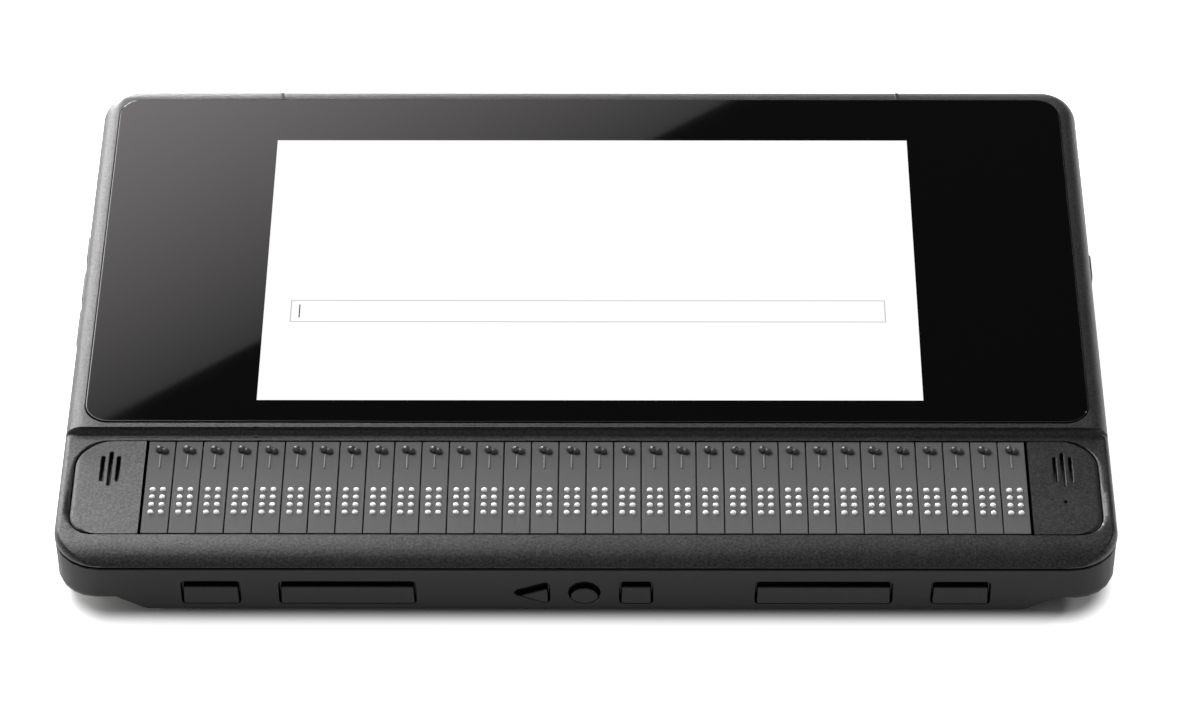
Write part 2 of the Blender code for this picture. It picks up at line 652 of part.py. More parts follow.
def wing_space(side, ceiling, wall):
    """The space beside the raised middle of the underside, up to a ceiling."""
    lean = PEDESTAL_FLARE / WING_RISE
    foot = PEDESTAL_HALF_WIDTH - wall * math.sqrt(1 + lean ** 2)
    outside, below = CASE_WIDTH / 2 + OVERRUN, UNDERSIDE_Z - OVERRUN
    profile = [Vector((foot - lean * OVERRUN, below)), Vector((outside, below)), Vector((outside, ceiling)),
               Vector((foot + lean * (ceiling - UNDERSIDE_Z), ceiling))]
    if side < 0:
        profile = [Vector((-point.x, point.y)) for point in reversed(profile)]
    return prism("wing_space", profile, FRONT_Y - OVERRUN, REAR_Y + OVERRUN, FACING_FRONT)


def wing_cutter(side):
    """The space under one wing, below an underside that is rounded all round."""
    space = wing_space(side, WING_Z + WING_EDGE_RADIUS + GAP, 0.0)
    above = [lower_ring(PARTING_Z, -SUNK)]
    combine(space, tub("wing_form", above, -SUNK, WING_Z, WING_EDGE_RADIUS + SUNK, WING_EDGE_SEGMENTS))
    return space


def rim_rings():
    """The lower shell's rim, set back below the parting line so that the seam shows as a dark line."""
    ledge = PARTING_Z - SEAM_REBATE_HEIGHT
    return [lower_ring(PARTING_Z - SEAM_GAP / 2, SEAM_REBATE), lower_ring(ledge, SEAM_REBATE),
            lower_ring(ledge, SEAM_CHAMFER), lower_ring(ledge - SEAM_CHAMFER, 0.0)]


def make_bottom_case(front_openings, side_openings, port_openings):
    rim = PARTING_Z - SEAM_GAP / 2
    case = tub("bottom_case", rim_rings(), 0.0, UNDERSIDE_Z, LOWER_EDGE_RADIUS, LOWER_EDGE_SEGMENTS,
               LOWER_PLASTIC)
    mouth = [lower_ring(PARTING_Z + OVERRUN, LOWER_WALL)]
    hollow = tub("bottom_case_hollow", mouth, LOWER_WALL, FLOOR_Z, group=CUTTERS)
    for side in (-1, 1):
        combine(case, wing_cutter(side))
        combine(hollow, wing_space(side, WING_Z + LOWER_WALL, LOWER_WALL))
    combine(case, hollow)
    for x, y in BOSS_PLACES:
        join(case, prism("boss", circle(BOSS_DIAMETER, (x, y)), WING_Z + GAP, rim - GAP / 2))
        combine(case, prism("counterbore", circle(COUNTERBORE_DIAMETER, (x, y)), UNDERSIDE_Z,
                            WING_Z + COUNTERBORE_DEPTH))
    rib_spacing = 2 * (FIELD_HALF_WIDTH - RIB_END_MARGIN) / (RIB_COUNT - 1)
    for index in range(RIB_COUNT):
        x = (index - (RIB_COUNT - 1) / 2) * rib_spacing
        join(case, box("cell_rib", (x - RIB_THICKNESS / 2, FIELD_FRONT_Y, FLOOR_Z - GAP),
                       (x + RIB_THICKNESS / 2, CELL_BODY_REAR_Y - GAP / 2, FLOOR_Z + RIB_HEIGHT)))
    for x, y in standoff_places():
        join(case, prism("standoff", circle(STANDOFF_DIAMETER, (x, y), SMALL_HOLE_SIDES), FLOOR_Z - GAP,
                         FLOOR_Z + BOARD_STANDOFF))
    combine(case, prism("battery_opening", battery_outline(GAP), UNDERSIDE_Z - OVERRUN, FLOOR_Z + OVERRUN))
    combine(case, prism("door_seat", grown(door_outline(), GAP), UNDERSIDE_Z - OVERRUN,
                        UNDERSIDE_Z + DOOR_THICKNESS + GAP))
    for y in foot_places():
        combine(case, prism("foot_seat", grown(foot_outline(y), GAP), UNDERSIDE_Z - OVERRUN,
                            UNDERSIDE_Z + FOOT_SEAT_DEPTH))
    for opening in front_openings + side_openings + port_openings:
        combine(case, opening)


# Braille cells, routing keys and end panels

def cell_centre_x(index):
    return (index - (CELL_COUNT - 1) / 2) * CELL_PITCH


def routing_place(index):
    return Vector((cell_centre_x(index) + ROUTING_OFFSET_X, FIELD_FRONT_Y + ROUTING_FROM_FRONT, DECK_Z))


def lobe_places():
    half = Matrix.Rotation(ROUTING_TILT, 2) @ Vector((ROUTING_LOBE_PITCH / 2, 0))
    return -half, half


def routing_outline(margin=0.0):
    """A stadium round both lobes of a routing key."""
    radius = ROUTING_LOBE_RADIUS + margin
    points = []
    for lobe, turn in zip(lobe_places(), (math.pi / 2, -math.pi / 2)):
        for step in range(LOBE_ARC_POINTS):
            angle = ROUTING_TILT + turn + math.pi * step / (LOBE_ARC_POINTS - 1)
            points.append(lobe + radius * Vector((math.cos(angle), math.sin(angle))))
    return points


def taper(name, place, height, base_radius, top_radius, sides):
    """A short cone, or one with its tip cut off, standing on a place."""
    bm = bmesh.new()
    middle = Matrix.Translation(Vector(place) + Vector((0, 0, height / 2)))
    bmesh.ops.create_cone(bm, cap_ends=True, segments=sides, radius1=base_radius, radius2=top_radius,
                          depth=height, matrix=middle)
    return add_object(name, bm, None, CUTTERS)


def make_routing_keys():
    """A ball for the fingertip to find and a dish to press, on one sliding key over each cell."""
    ball, dish = lobe_places()
    key = prism("routing_key", routing_outline(), -ROUTING_DEPTH, ROUTING_HEIGHT, surface=ROUTING_PLASTIC)
    radius = ROUTING_LOBE_RADIUS * BALL_SHARE
    join(key, taper("ball", (*ball, ROUTING_HEIGHT - SUNK), ROUTING_DOME_HEIGHT, radius,
                    radius * DOME_TOP_SHARE, LOBE_SIDES))
    rim = ROUTING_HEIGHT + ROUTING_DISH_HEIGHT
    join(key, prism("dish_rim", circle(2 * radius, dish, LOBE_SIDES), 0.0, rim))
    combine(key, taper("dish", (*dish, ROUTING_HEIGHT), 2 * ROUTING_DISH_HEIGHT, 0.0,
                       2 * radius * DISH_SHARE, LOBE_SIDES))
    mesh = finished_mesh(key)
    for index in range(CELL_COUNT):
        made = bpy.data.objects.new(f"routing_button_{index + 1:02d}", mesh)
        made.location = routing_place(index)
        PARTS.objects.link(made)


def dot_places(cells):
    rows_y = FIELD_FRONT_Y + DOT_ROWS_FROM_FRONT
    places = []
    for index in cells:
        for column in (-0.5, 0.5):
            for row in range(DOT_ROWS):
                places.append((cell_centre_x(index) + column * DOT_COLUMN_PITCH,
                               rows_y + (row - (DOT_ROWS - 1) / 2) * DOT_ROW_PITCH, 0.0))
    return places


def make_braille_block(name, first):
    """Sixteen cells in one block: caps in the window, and the bodies that drive the dots behind them."""
    cells = range(first, first + CELLS_PER_BLOCK)
    left = cell_centre_x(first) - CELL_PITCH / 2 + GAP / 2
    right = cell_centre_x(cells[-1]) + CELL_PITCH / 2 - GAP / 2
    front, rear = FIELD_FRONT_Y + GAP / 2, FIELD_REAR_Y - GAP / 2
    body_top = CELL_BODY_Z + CELL_BODY_HEIGHT
    profile = [(front, CELL_BODY_Z), (CELL_BODY_REAR_Y, CELL_BODY_Z), (CELL_BODY_REAR_Y, body_top),
               (rear, body_top), (rear, DECK_Z), (front, DECK_Z)]
    block = prism(name, [Vector(point) for point in profile], left, right, FACING_RIGHT, CAP_PLASTIC)
    pocket_floor = DECK_Z - ROUTING_DEPTH - ROUTING_TRAVEL - GAP / 2
    pocket = prism("pocket", routing_outline(GAP), pocket_floor, DECK_Z + OVERRUN)
    pockets = [(*routing_place(index).xy, 0.0) for index in cells]
    combine(block, repeated("routing_pockets", pocket, pockets))
    dot = taper("dot", (0, 0, DECK_Z - SUNK), DOT_HEIGHT, DOT_DIAMETER / 2, 0.0, DOT_SIDES)
    join(block, repeated("dots", dot, dot_places(cells)))
    ridge = box("ridge", (-RIDGE_WIDTH / 2, 0, DECK_Z - RIDGE_HEIGHT),
                (RIDGE_WIDTH / 2, RIDGE_LENGTH, DECK_Z + RIDGE_HEIGHT))
    ridges = [(cell_centre_x(index), FIELD_FRONT_Y + RIDGE_FROM_FRONT, 0) for index in cells]
    join(block, repeated("ridges", ridge, ridges))
    half = CAP_GROOVE / 2
    vee = [Vector((0, DECK_Z - half)), Vector((half * 2, DECK_Z + half)), Vector((-half * 2, DECK_Z + half))]
    groove = prism("groove", vee, -FIELD_REAR_Y - OVERRUN / 2, -FIELD_FRONT_Y + OVERRUN, FACING_FRONT)
    grooves = [(cell_centre_x(index) + CELL_PITCH / 2, 0, 0) for index in cells[:-1]]
    combine(block, repeated("cap_grooves", groove, grooves))


def make_backplane():
    half = FIELD_HALF_WIDTH - BACKPLANE_END_MARGIN
    box("braille_backplane", (-half, FIELD_FRONT_Y + GAP, BACKPLANE_Z),
        (half, CELL_BODY_REAR_Y - GAP / 2, BACKPLANE_Z + BACKPLANE_THICKNESS), CIRCUIT)


def make_end_panel(name, side):
    """The plate at one end of the braille field, over a speaker."""
    corners = [(PANEL_INNER_X, FIELD_FRONT_Y, 0), (PANEL_OUTER_X, FIELD_FRONT_Y, PANEL_FRONT_RADIUS),
               (PANEL_OUTER_X, FIELD_REAR_Y, PANEL_REAR_RADIUS), (PANEL_INNER_X, FIELD_REAR_Y, 0)]
    outline = rounded_outline(corners, CORNER_SEGMENTS)
    if side < 0:
        outline = [Vector((-point.x, point.y)) for point in reversed(outline)]
    panel = prism(name, outline, DECK_Z - PANEL_THICKNESS, DECK_Z, surface=CASE_PLASTIC, edge=PANEL_EDGE)
    centre = side * (PANEL_INNER_X + PANEL_LENGTH / 2)
    for index, length in ((-1, SLOT_LENGTH), (0, MIDDLE_SLOT_LENGTH), (1, SLOT_LENGTH)):
        place = (centre + index * SLOT_PITCH, FIELD_FRONT_Y + SLOTS_FROM_FRONT)
        slot = rectangle(SLOT_WIDTH, length, SLOT_END_RADIUS, place)
        combine(panel, prism("sound_slot", slot, UNDERSIDE_Z, GLASS_Z))
    if side > 0:
        hole = circle(MICROPHONE_DIAMETER, (centre, FIELD_FRONT_Y + DOT_ROWS_FROM_FRONT), SMALL_HOLE_SIDES)
        combine(panel, prism("microphone_hole", hole, UNDERSIDE_Z, GLASS_Z))


def make_speaker(name, side):
    """A closed speaker box between the wing's floor and the end panel, its cone under the slots."""
    x = side * (PANEL_INNER_X + PANEL_LENGTH / 2)
    y = FIELD_FRONT_Y + SLOTS_FROM_FRONT
    top = DECK_Z - PANEL_THICKNESS - GAP
    speaker = box(name, (x - SPEAKER_WIDTH / 2, y - SPEAKER_LENGTH / 2, WING_Z + LOWER_WALL + GAP),
                  (x + SPEAKER_WIDTH / 2, y + SPEAKER_LENGTH / 2, top), SPEAKER_METAL, edge=SPEAKER_EDGE)
    cone = prism("cone", circle(SPEAKER_CONE_DIAMETER, (x, y)), top - SPEAKER_CONE_DEPTH, GLASS_Z)
    combine(speaker, cone)


# Glass and display

def make_display():
    prism("cover_glass", glass_outline(), GLASS_Z - GLASS_THICKNESS, GLASS_Z, surface=GLASS,
          edge=GLASS_EDGE, edge_steps=2)
    top = GLASS_Z - GLASS_THICKNESS - GAP
    prism("display_module", display_outline(), top - DISPLAY_THICKNESS, top, surface=DISPLAY)


# Keys along the front edge

def wall_front_y(z):
    """Outer face of the lower shell's front wall at a height."""
    return FRONT_Y + draft_at(z)


def front_key_outlines():
    """Name, outline and how far the pressing face drops below the top of the key."""
    z = KEY_MIDDLE_Z
    small = rectangle(SMALL_KEY_WIDTH, KEY_HEIGHT, KEY_CORNER_RADIUS, (0, z))
    large = rectangle(LARGE_KEY_WIDTH, KEY_HEIGHT, KEY_CORNER_RADIUS, (0, z))
    square = rectangle(SQUARE_KEY_WIDTH, KEY_HEIGHT, KEY_CORNER_RADIUS, (SQUARE_KEY_X, z))
    tip, back = TRIANGLE_KEY_X - TRIANGLE_KEY_WIDTH / 2, TRIANGLE_KEY_X + TRIANGLE_KEY_WIDTH / 2
    triangle = rounded_outline([(tip, z, KEY_CORNER_RADIUS), (back, z - KEY_HEIGHT / 2, KEY_CORNER_RADIUS),
                                (back, z + KEY_HEIGHT / 2, KEY_CORNER_RADIUS)], SMALL_CORNER_SEGMENTS)
    return (
        ("previous_thumb_key", shifted(small, -SMALL_KEY_X, 0), KEY_LEDGE_DROP),
        ("back_thumb_key", shifted(large, -LARGE_KEY_X, 0), KEY_LEDGE_DROP),
        ("triangle_key", triangle, KEY_LEDGE_DROP),
        ("circle_key", circle(CIRCLE_KEY_DIAMETER, (CIRCLE_KEY_X, z)), CIRCLE_LEDGE_DROP),
        ("square_key", square, KEY_LEDGE_DROP),
        ("advance_thumb_key", shifted(large, LARGE_KEY_X, 0), KEY_LEDGE_DROP),
        ("next_thumb_key", shifted(small, SMALL_KEY_X, 0), KEY_LEDGE_DROP),
    )


KEY_FACE_Y = wall_front_y(KEY_Z) + KEY_RECESS
KEY_FLANGE_Y = KEY_FACE_Y - KEY_RECESS + LOWER_WALL + GAP
KEY_REAR_Y = KEY_FLANGE_Y + KEY_FLANGE_THICKNESS
SWITCH_Y = KEY_REAR_Y + KEY_TRAVEL + GAP


def make_front_keys():
    """Keys that slide in through the front wall, each held by a flange behind it.

    The pressing face starts below a ledge, so the top of each opening is a dark recess.
    The openings that they need in the lower shell are returned.
    """
    openings = []
    for name, outline, drop in front_key_outlines():
        key = prism(name, outline, -KEY_REAR_Y + GAP / 2, -KEY_FACE_Y, FACING_FRONT, KEY_PLASTIC)
        flange = grown(outline, KEY_FLANGE_WIDTH)
        flange = [Vector((point.x, max(point.y, FLOOR_Z + GAP))) for point in flange]
        join(key, prism("key_flange", flange, -KEY_REAR_Y, -KEY_FLANGE_Y, FACING_FRONT))
        face = shifted(grown(outline, GAP / 2), 0, -drop - GAP / 2)
        reach = LARGE_KEY_WIDTH
        middle = sum((point.x for point in outline), 0.0) / len(outline)
        recess = box("key_recess", (middle - reach, KEY_FACE_Y - OVERRUN, KEY_MIDDLE_Z),
                     (middle + reach, KEY_FACE_Y + KEY_LEDGE_DEPTH, KEY_Z + KEY_HEIGHT + OVERRUN))
        combine(recess, prism("key_face", face, -KEY_REAR_Y, -KEY_FACE_Y + 2 * OVERRUN, FACING_FRONT))
        combine(key, recess)
        openings.append(prism("key_opening", grown(outline, GAP), -KEY_FLANGE_Y, -FRONT_Y + OVERRUN,
                              FACING_FRONT))
    return openings


def make_key_board():
    """Upright board behind the front keys, with a switch for each."""
    front = SWITCH_Y + SWITCH_HEIGHT
    end = SMALL_KEY_X + SMALL_KEY_WIDTH / 2 + KEY_BOARD_END_MARGIN
    board = box("front_key_board", (-end, front, FLOOR_Z + GAP),
                (end, front + KEY_BOARD_THICKNESS, FLOOR_Z + GAP + KEY_BOARD_HEIGHT), CIRCUIT)
    half = SWITCH_SIZE / 2
    key_places = (-SMALL_KEY_X, -LARGE_KEY_X, TRIANGLE_KEY_X, CIRCLE_KEY_X, SQUARE_KEY_X, LARGE_KEY_X,
                  SMALL_KEY_X)
    for x in key_places:
        join(board, box("switch", (x - half, SWITCH_Y, KEY_MIDDLE_Z - half),
                        (x + half, front + KEY_BOARD_THICKNESS / 2, KEY_MIDDLE_Z + half)))


# Side buttons

def make_side_buttons():
    """Buttons that slide in through the side walls; the openings that they need are returned."""
    openings = []
    face = CASE_WIDTH / 2 + BUTTON_PROUD
    wall = CASE_WIDTH / 2 - draft_at(BUTTON_Z - BUTTON_HEIGHT / 2) - LOWER_WALL
    flange = wall - GAP
    for name, side, from_rear, length in SIDE_BUTTONS:
        centre = (REAR_Y - from_rear, BUTTON_Z)
        outline = rectangle(length, BUTTON_HEIGHT, BUTTON_RADIUS, centre)
        inner = flange - BUTTON_FLANGE_THICKNESS
        button = prism(name, outline, inner + GAP / 2, face, FACING_RIGHT, KEY_PLASTIC, edge=BUTTON_EDGE)
        join(button, prism("button_flange", grown(outline, BUTTON_FLANGE_WIDTH), inner, flange, FACING_RIGHT))
        opening = prism("button_opening", grown(outline, GAP), flange, face, FACING_RIGHT)
        if side < 0:
            turn_to_left(button)
            turn_to_left(button.modifiers[0].object)
            turn_to_left(opening)
        openings.append(opening)
    return openings


def turn_to_left(made):
    """Mirror a mesh from the right side of the case to the left, with its faces still pointing out."""
    made.data.transform(Matrix.Scale(-1, 4, (1, 0, 0)))
    made.data.flip_normals()


# Inside: battery, its door, main board, feet

def battery_outline(margin=0.0):
    return grown(rectangle(BATTERY_WIDTH, BATTERY_DEPTH, BATTERY_EDGE, (0, BATTERY_CENTRE_Y)), margin)


def door_outline():
    return rectangle(BATTERY_WIDTH + 2 * DOOR_LEDGE, BATTERY_DEPTH + 2 * DOOR_LEDGE, DOOR_RADIUS,
                     (0, BATTERY_CENTRE_Y))


def make_battery():
    door_top = UNDERSIDE_Z + DOOR_THICKNESS
    prism("battery_pack", battery_outline(), door_top + GAP, door_top + GAP + BATTERY_HEIGHT,
          surface=CELL_WRAP, edge=BATTERY_EDGE / 2)
    door = prism("battery_door", door_outline(), UNDERSIDE_Z, door_top, surface=LOWER_PLASTIC)
    notch_y = BATTERY_CENTRE_Y + BATTERY_DEPTH / 2
    combine(door, prism("finger_notch", circle(DOOR_NOTCH_DIAMETER, (0, notch_y)), UNDERSIDE_Z - OVERRUN,
                        UNDERSIDE_Z + DOOR_NOTCH_DEPTH))


def standoff_places():
    reach = BOARD_HALF_WIDTH - 2 * STANDOFF_DIAMETER
    rows = BOARD_FRONT_Y + STANDOFF_DIAMETER, BOARD_REAR_Y - STANDOFF_DIAMETER
    return [(side * reach, y) for side in (-1, 1) for y in rows]


def port(board, x, width, height, hollow, tongue=False):
    """A socket soldered on the board, open to the rear; the opening in the wall is returned."""
    rear = REAR_Y - draft_at(BOARD_TOP_Z) - PORT_SETBACK
    centre = (x, BOARD_TOP_Z - GAP + height / 2)
    outer = rectangle(width, height, PORT_WALL, centre)
    join(board, prism("socket", outer, -rear, -rear + PORT_BODY_DEPTH, FACING_FRONT))
    combine(board, prism("socket_hollow", shifted(hollow, *centre), -rear - OVERRUN,
                         -rear + PORT_HOLLOW_DEPTH, FACING_FRONT))
    if tongue:
        middle = centre[1] + TONGUE_OFFSET
        half = width / 2 - TONGUE_MARGIN
        join(board, box("tongue", (x - half, rear - PORT_HOLLOW_DEPTH - GAP, middle - TONGUE_THICKNESS / 2),
                        (x + half, rear - PORT_WALL, middle + TONGUE_THICKNESS / 2)))
    return prism("port_opening", grown(outer, GAP), -REAR_Y - OVERRUN, -REAR_Y + LOWER_WALL + OVERRUN / 2,
                 FACING_FRONT)


def make_main_board():
    """The main board and its sockets; the openings that they need in the rear wall are returned."""
    board = box("main_board", (-BOARD_HALF_WIDTH, BOARD_FRONT_Y, BOARD_Z),
                (BOARD_HALF_WIDTH, BOARD_REAR_Y, BOARD_TOP_Z), CIRCUIT)
    join(board, box("shield", (-SHIELD_WIDTH / 2, BOARD_FRONT_Y + GAP, BOARD_TOP_Z - GAP),
                    (SHIELD_WIDTH / 2, BOARD_FRONT_Y + SHIELD_DEPTH, BOARD_TOP_Z + SHIELD_HEIGHT)))
    openings = []
    flat_ports = ((USB_X, USB_WIDTH, USB_HEIGHT, True), (VIDEO_X, VIDEO_WIDTH, VIDEO_HEIGHT, True),
                  (CHARGE_X, CHARGE_WIDTH, CHARGE_HEIGHT, False))
    for x, width, height, tongue in flat_ports:
        hollow = rectangle(width - 2 * PORT_WALL, height - 2 * PORT_WALL)
        openings.append(port(board, x, width, height, hollow, tongue))
    openings.append(port(board, AUDIO_X, AUDIO_SIZE, AUDIO_SIZE, circle(AUDIO_BORE)))
    return openings


def foot_places():
    return FRONT_Y + FRONT_FOOT_MARGIN, REAR_Y - REAR_FOOT_MARGIN


def foot_outline(y):
    return rectangle(FOOT_LENGTH, FOOT_WIDTH, FOOT_END_RADIUS, (0, y))


def make_feet():
    for name, y in zip(("front_foot_strip", "rear_foot_strip"), foot_places()):
        mirrored = [Vector((point.x, -point.y)) for point in reversed(foot_outline(y))]
        foot = prism(name, mirrored, -(UNDERSIDE_Z + FOOT_SEAT_DEPTH - GAP), 0.0, surface=RUBBER,
                     edge=FOOT_EDGE)
        foot.data.transform(Matrix.Rotation(math.pi, 4, 'X'))


def shade_parts():
    """Smooth shading on every piece, with its hard edges kept."""
    for made in PARTS.objects:
        made.data.shade_smooth()
        made.data.set_sharp_from_angle(angle=math.radians(35))


def place_origins():
    """Give each sliding key the middle of its own mesh as its origin."""
    for made in PARTS.objects:
        if made.name.endswith(("_key", "_button")):
            corners = [Vector(corner) for corner in made.bound_box]
            set_origin(made, sum(corners, Vector()) / len(corners))


def main():
    front_openings = make_front_keys()
    side_openings = make_side_buttons()
    port_openings = make_main_board()
    make_top_case()
    make_bottom_case(front_openings, side_openings, port_openings)
    make_display()
    make_braille_block("braille_cells_left", 0)
    make_braille_block("braille_cells_right", CELLS_PER_BLOCK)
    make_routing_keys()
    make_backplane()
    make_end_panel("left_end_panel", -1)
    make_end_panel("right_end_panel", 1)
    make_speaker("left_speaker", -1)
    make_speaker("right_speaker", 1)
    make_key_board()
    make_battery()
    make_feet()
    place_origins()
    shade_parts()


main()
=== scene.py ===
"""Looks of a braille notetaker with a touch screen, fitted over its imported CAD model."""

import math

import bmesh
import bpy
from bpy.props import FloatProperty, FloatVectorProperty, PointerProperty, StringProperty
from mathutils import Matrix, Vector


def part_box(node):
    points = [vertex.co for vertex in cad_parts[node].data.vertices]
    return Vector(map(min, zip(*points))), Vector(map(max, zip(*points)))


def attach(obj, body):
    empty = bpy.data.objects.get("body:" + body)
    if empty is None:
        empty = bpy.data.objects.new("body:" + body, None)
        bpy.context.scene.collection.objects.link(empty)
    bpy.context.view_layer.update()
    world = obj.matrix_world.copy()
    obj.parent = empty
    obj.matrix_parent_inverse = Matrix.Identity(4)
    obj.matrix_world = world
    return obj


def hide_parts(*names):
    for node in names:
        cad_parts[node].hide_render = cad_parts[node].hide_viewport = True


bl_info = {
    "name": "Braille notetaker looks",
    "version": (1, 0, 0),
    "blender": (4, 5, 0),
    "location": "3D View > Sidebar > Notetaker",
    "description": "Moulded shells, braille cells, keys, glass and a small studio for a braille notetaker",
    "category": "Object",
}

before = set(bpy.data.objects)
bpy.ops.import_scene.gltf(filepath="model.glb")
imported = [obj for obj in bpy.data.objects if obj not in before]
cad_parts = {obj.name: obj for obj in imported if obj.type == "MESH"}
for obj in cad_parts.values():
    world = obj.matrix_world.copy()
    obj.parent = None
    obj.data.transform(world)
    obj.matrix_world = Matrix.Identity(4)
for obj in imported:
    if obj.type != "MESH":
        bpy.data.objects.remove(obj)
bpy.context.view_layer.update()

MM = 0.001
CELL_COUNT = 32
CELLS_PER_BLOCK = 16
DOTS_PER_COLUMN = 4
CLEARANCE = 0.3 * MM
BOARD_THICKNESS = 1.6 * MM
SOCKET_REACH = 0.6 * MM

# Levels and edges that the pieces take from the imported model
UPPER_LOW, UPPER_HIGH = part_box("top_case")
LOWER_LOW, LOWER_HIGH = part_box("bottom_case")
PANEL_LOW, PANEL_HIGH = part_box("right_end_panel")
GLASS_LOW, GLASS_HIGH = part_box("cover_glass")
CELLS_LOW, CELLS_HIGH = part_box("braille_cells_left")[0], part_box("braille_cells_right")[1]
DECK_Z = PANEL_HIGH.z
SHELF_Z = GLASS_HIGH.z - CLEARANCE
PARTING_Z = LOWER_HIGH.z + 0.12 * MM
FRONT_Y, REAR_Y = UPPER_LOW.y, UPPER_HIGH.y
FIELD_FRONT_Y, FIELD_REAR_Y = PANEL_LOW.y, PANEL_HIGH.y

# Smaller measures: the dish beside the field, how much of a quarter ellipse the nose follows, how far the
# screen lies below the glass's face, and the actuator bodies under the caps
DISH_RAMP = 14 * MM
DISH_SHOULDER = 1.5 * MM
NOSE_TURN = 0.94
LIT_DEPTH = 0.03 * MM
ENTRY_DEPTHS = (0.02 * MM, 0.015 * MM)
ENTRY_SHIFT = 0.075 * MM
BODY_TOP = DECK_Z - 2.6 * MM
BODY_OVERLAP = 0.05 * MM
CAP_CORNER = 0.15 * MM
DOT_CLEARANCE = 0.03 * MM
SUNK = 0.1 * MM
CUTTER_REACH = 5 * MM
PANEL_INNER_CORNER = 0.3 * MM

# The studio in metres: the lamps by name, with the place and the size of each, then floor, softbox and the
# dome that paints reflections
LAMPS = {"key": ((-0.5, 0.71, 0.8), 0.5), "rear": ((-0.5, 1.3, 0.14), 0.3), "rim": ((-0.95, 1.0, 0.32), 0.55),
         "glint": ((0.95, 0.3, 0.42), 0.12), "top": ((-0.3, 0.46, 0.98), 0.3)}
FLOOR_REACH = 6.0
SHADOW_ROUND = 10 * MM
SHADOW_INSET = 3 * MM
SOFTBOX_ENDS = (-0.62, 0.75)
SOFTBOX_WIDTH = 0.24
SOFTBOX_FADE = 0.19
SOFTBOX_PLACE = (-0.005, 1.2, 1.0188)
SOFTBOX_TURN = math.radians(34.12)
DOME_RADIUS = 3.0
DOME_OPEN_BELOW = 0.5
DOME_SHUT_FROM = 1.5
DOME_FADE = (0.3, -0.7)

FACING_UP = Matrix.Identity(4)
FACING_FRONT = Matrix(((1, 0, 0, 0), (0, 0, -1, 0), (0, 1, 0, 0), (0, 0, 0, 1)))
FACING_RIGHT = Matrix(((0, 0, 1, 0), (1, 0, 0, 0), (0, 1, 0, 0), (0, 0, 0, 1)))

FRONT_KEYS = ("previous_thumb_key", "back_thumb_key", "triangle_key", "circle_key", "square_key",
              "advance_thumb_key", "next_thumb_key")
SIDE_BUTTONS = ("media_button", "volume_up_button", "volume_down_button", "power_button")
SCREW_PLACES = ((-112.0 * MM, -28.0 * MM), (112.0 * MM, -28.0 * MM),
                (-111.0 * MM, 68.0 * MM), (111.0 * MM, 68.0 * MM))
SCREW_SEAT_Z = 6.7 * MM
SCREW_PROFILE_MM = ((0.9, 3.0), (0.9, 0.0), (2.1, -0.1), (2.2, -0.6), (1.9, -1.1), (1.2, -1.3), (0.0, -1.35))
CROSS_MM = (2.4, 0.55)


def length(name, description, millimetres):
    return FloatProperty(name=name, description=description, default=millimetres * MM, min=0.0, unit='LENGTH')


def tilt(name, description, degrees):
    return FloatProperty(name=name, description=description, default=math.radians(degrees), subtype='ANGLE')


def watts(name, description, power):
    return FloatProperty(name=name, description=description, default=power, min=0.0, unit='POWER')


def amount(name, description, value):
    return FloatProperty(name=name, description=description, default=value, min=0.0)


def colour(name, description, default):
    return StringProperty(name=name, description=description + ", as an sRGB hex value", default=default)


class CaseSettings(bpy.types.PropertyGroup):
    front_corner: length("Front corner", "Plan radius of the case's front corners", 11.5)
    rear_corner: length("Rear corner", "Plan radius of the case's rear corners", 10.0)
    side_edge: length("Side edge", "Width of the rounded edge beside the braille field", 1.5)
    shelf_edge: length("Shelf edge", "Width of the rounded edge beside the glass", 4.1)
    dish: length("Dish", "How far the margin beside the field falls towards it", 0.045)
    side_lip: length("Side lip", "Upright part of the side, above the seam", 0.3)
    nose: length("Nose", "Depth of the rounded front edge", 7.0)
    nose_lip: length("Nose lip", "Upright part of the front edge, above the seam", 0.1)
    rear_edge: length("Rear edge", "Depth of the rounded rear edge", 5.5)
    rear_lip: length("Rear lip", "Upright part of the rear edge, above the seam", 0.4)
    wall: length("Wall", "Thickness of the upper shell", 2.2)
    step_margin: length("Step margin", "Deck between the braille field and the step", 1.4)
    step: length("Step", "Depth of the step up to the screen's shelf", 1.5)
    glass_corner: length("Glass corner", "Plan radius of the glass's corners", 5.8)
    glass_front: length("Glass front", "How far the glass ends behind its packed front edge", 0.55)
    glass_rear: length("Glass rear", "How far the glass reaches past its packed rear edge", 0.8)
    glass_gap: length("Glass gap", "Gap round the glass", 0.1)
    glass_flare: length("Glass flare", "Width of the slope round the glass's opening", 0.22)
    window_gap: length("Window gap", "Gap between the braille field and its window", 0.32)
    window_flare: length("Window flare", "Width of the slope at both ends of the window", 0.62)
    window_slope: length("Window slope", "Depth of the slope at both ends of the window", 0.34)
    mark_spacing: length("Mark spacing", "Distance between the pairs of raised marks", 155.4)
    mark_width: length("Mark width", "Width of a raised mark", 0.8)
    mark_rise: length("Mark rise", "Height of a raised mark on the rear rim", 0.3)
    mark_length: length("Mark length", "Length of a raised mark on the rear rim", 2.6)
    mark_from_rear: length("Mark place", "From the rear edge to the middle of a raised mark", 4.3)
    boss: length("Boss", "Diameter of a screw boss", 7.6)
    shell_colour: colour("Shell", "Colour of the textured plastic", "#1f1f20")
    lower_colour: colour("Lower shell", "Colour of the smooth lower plastic", "#1a1a1b")


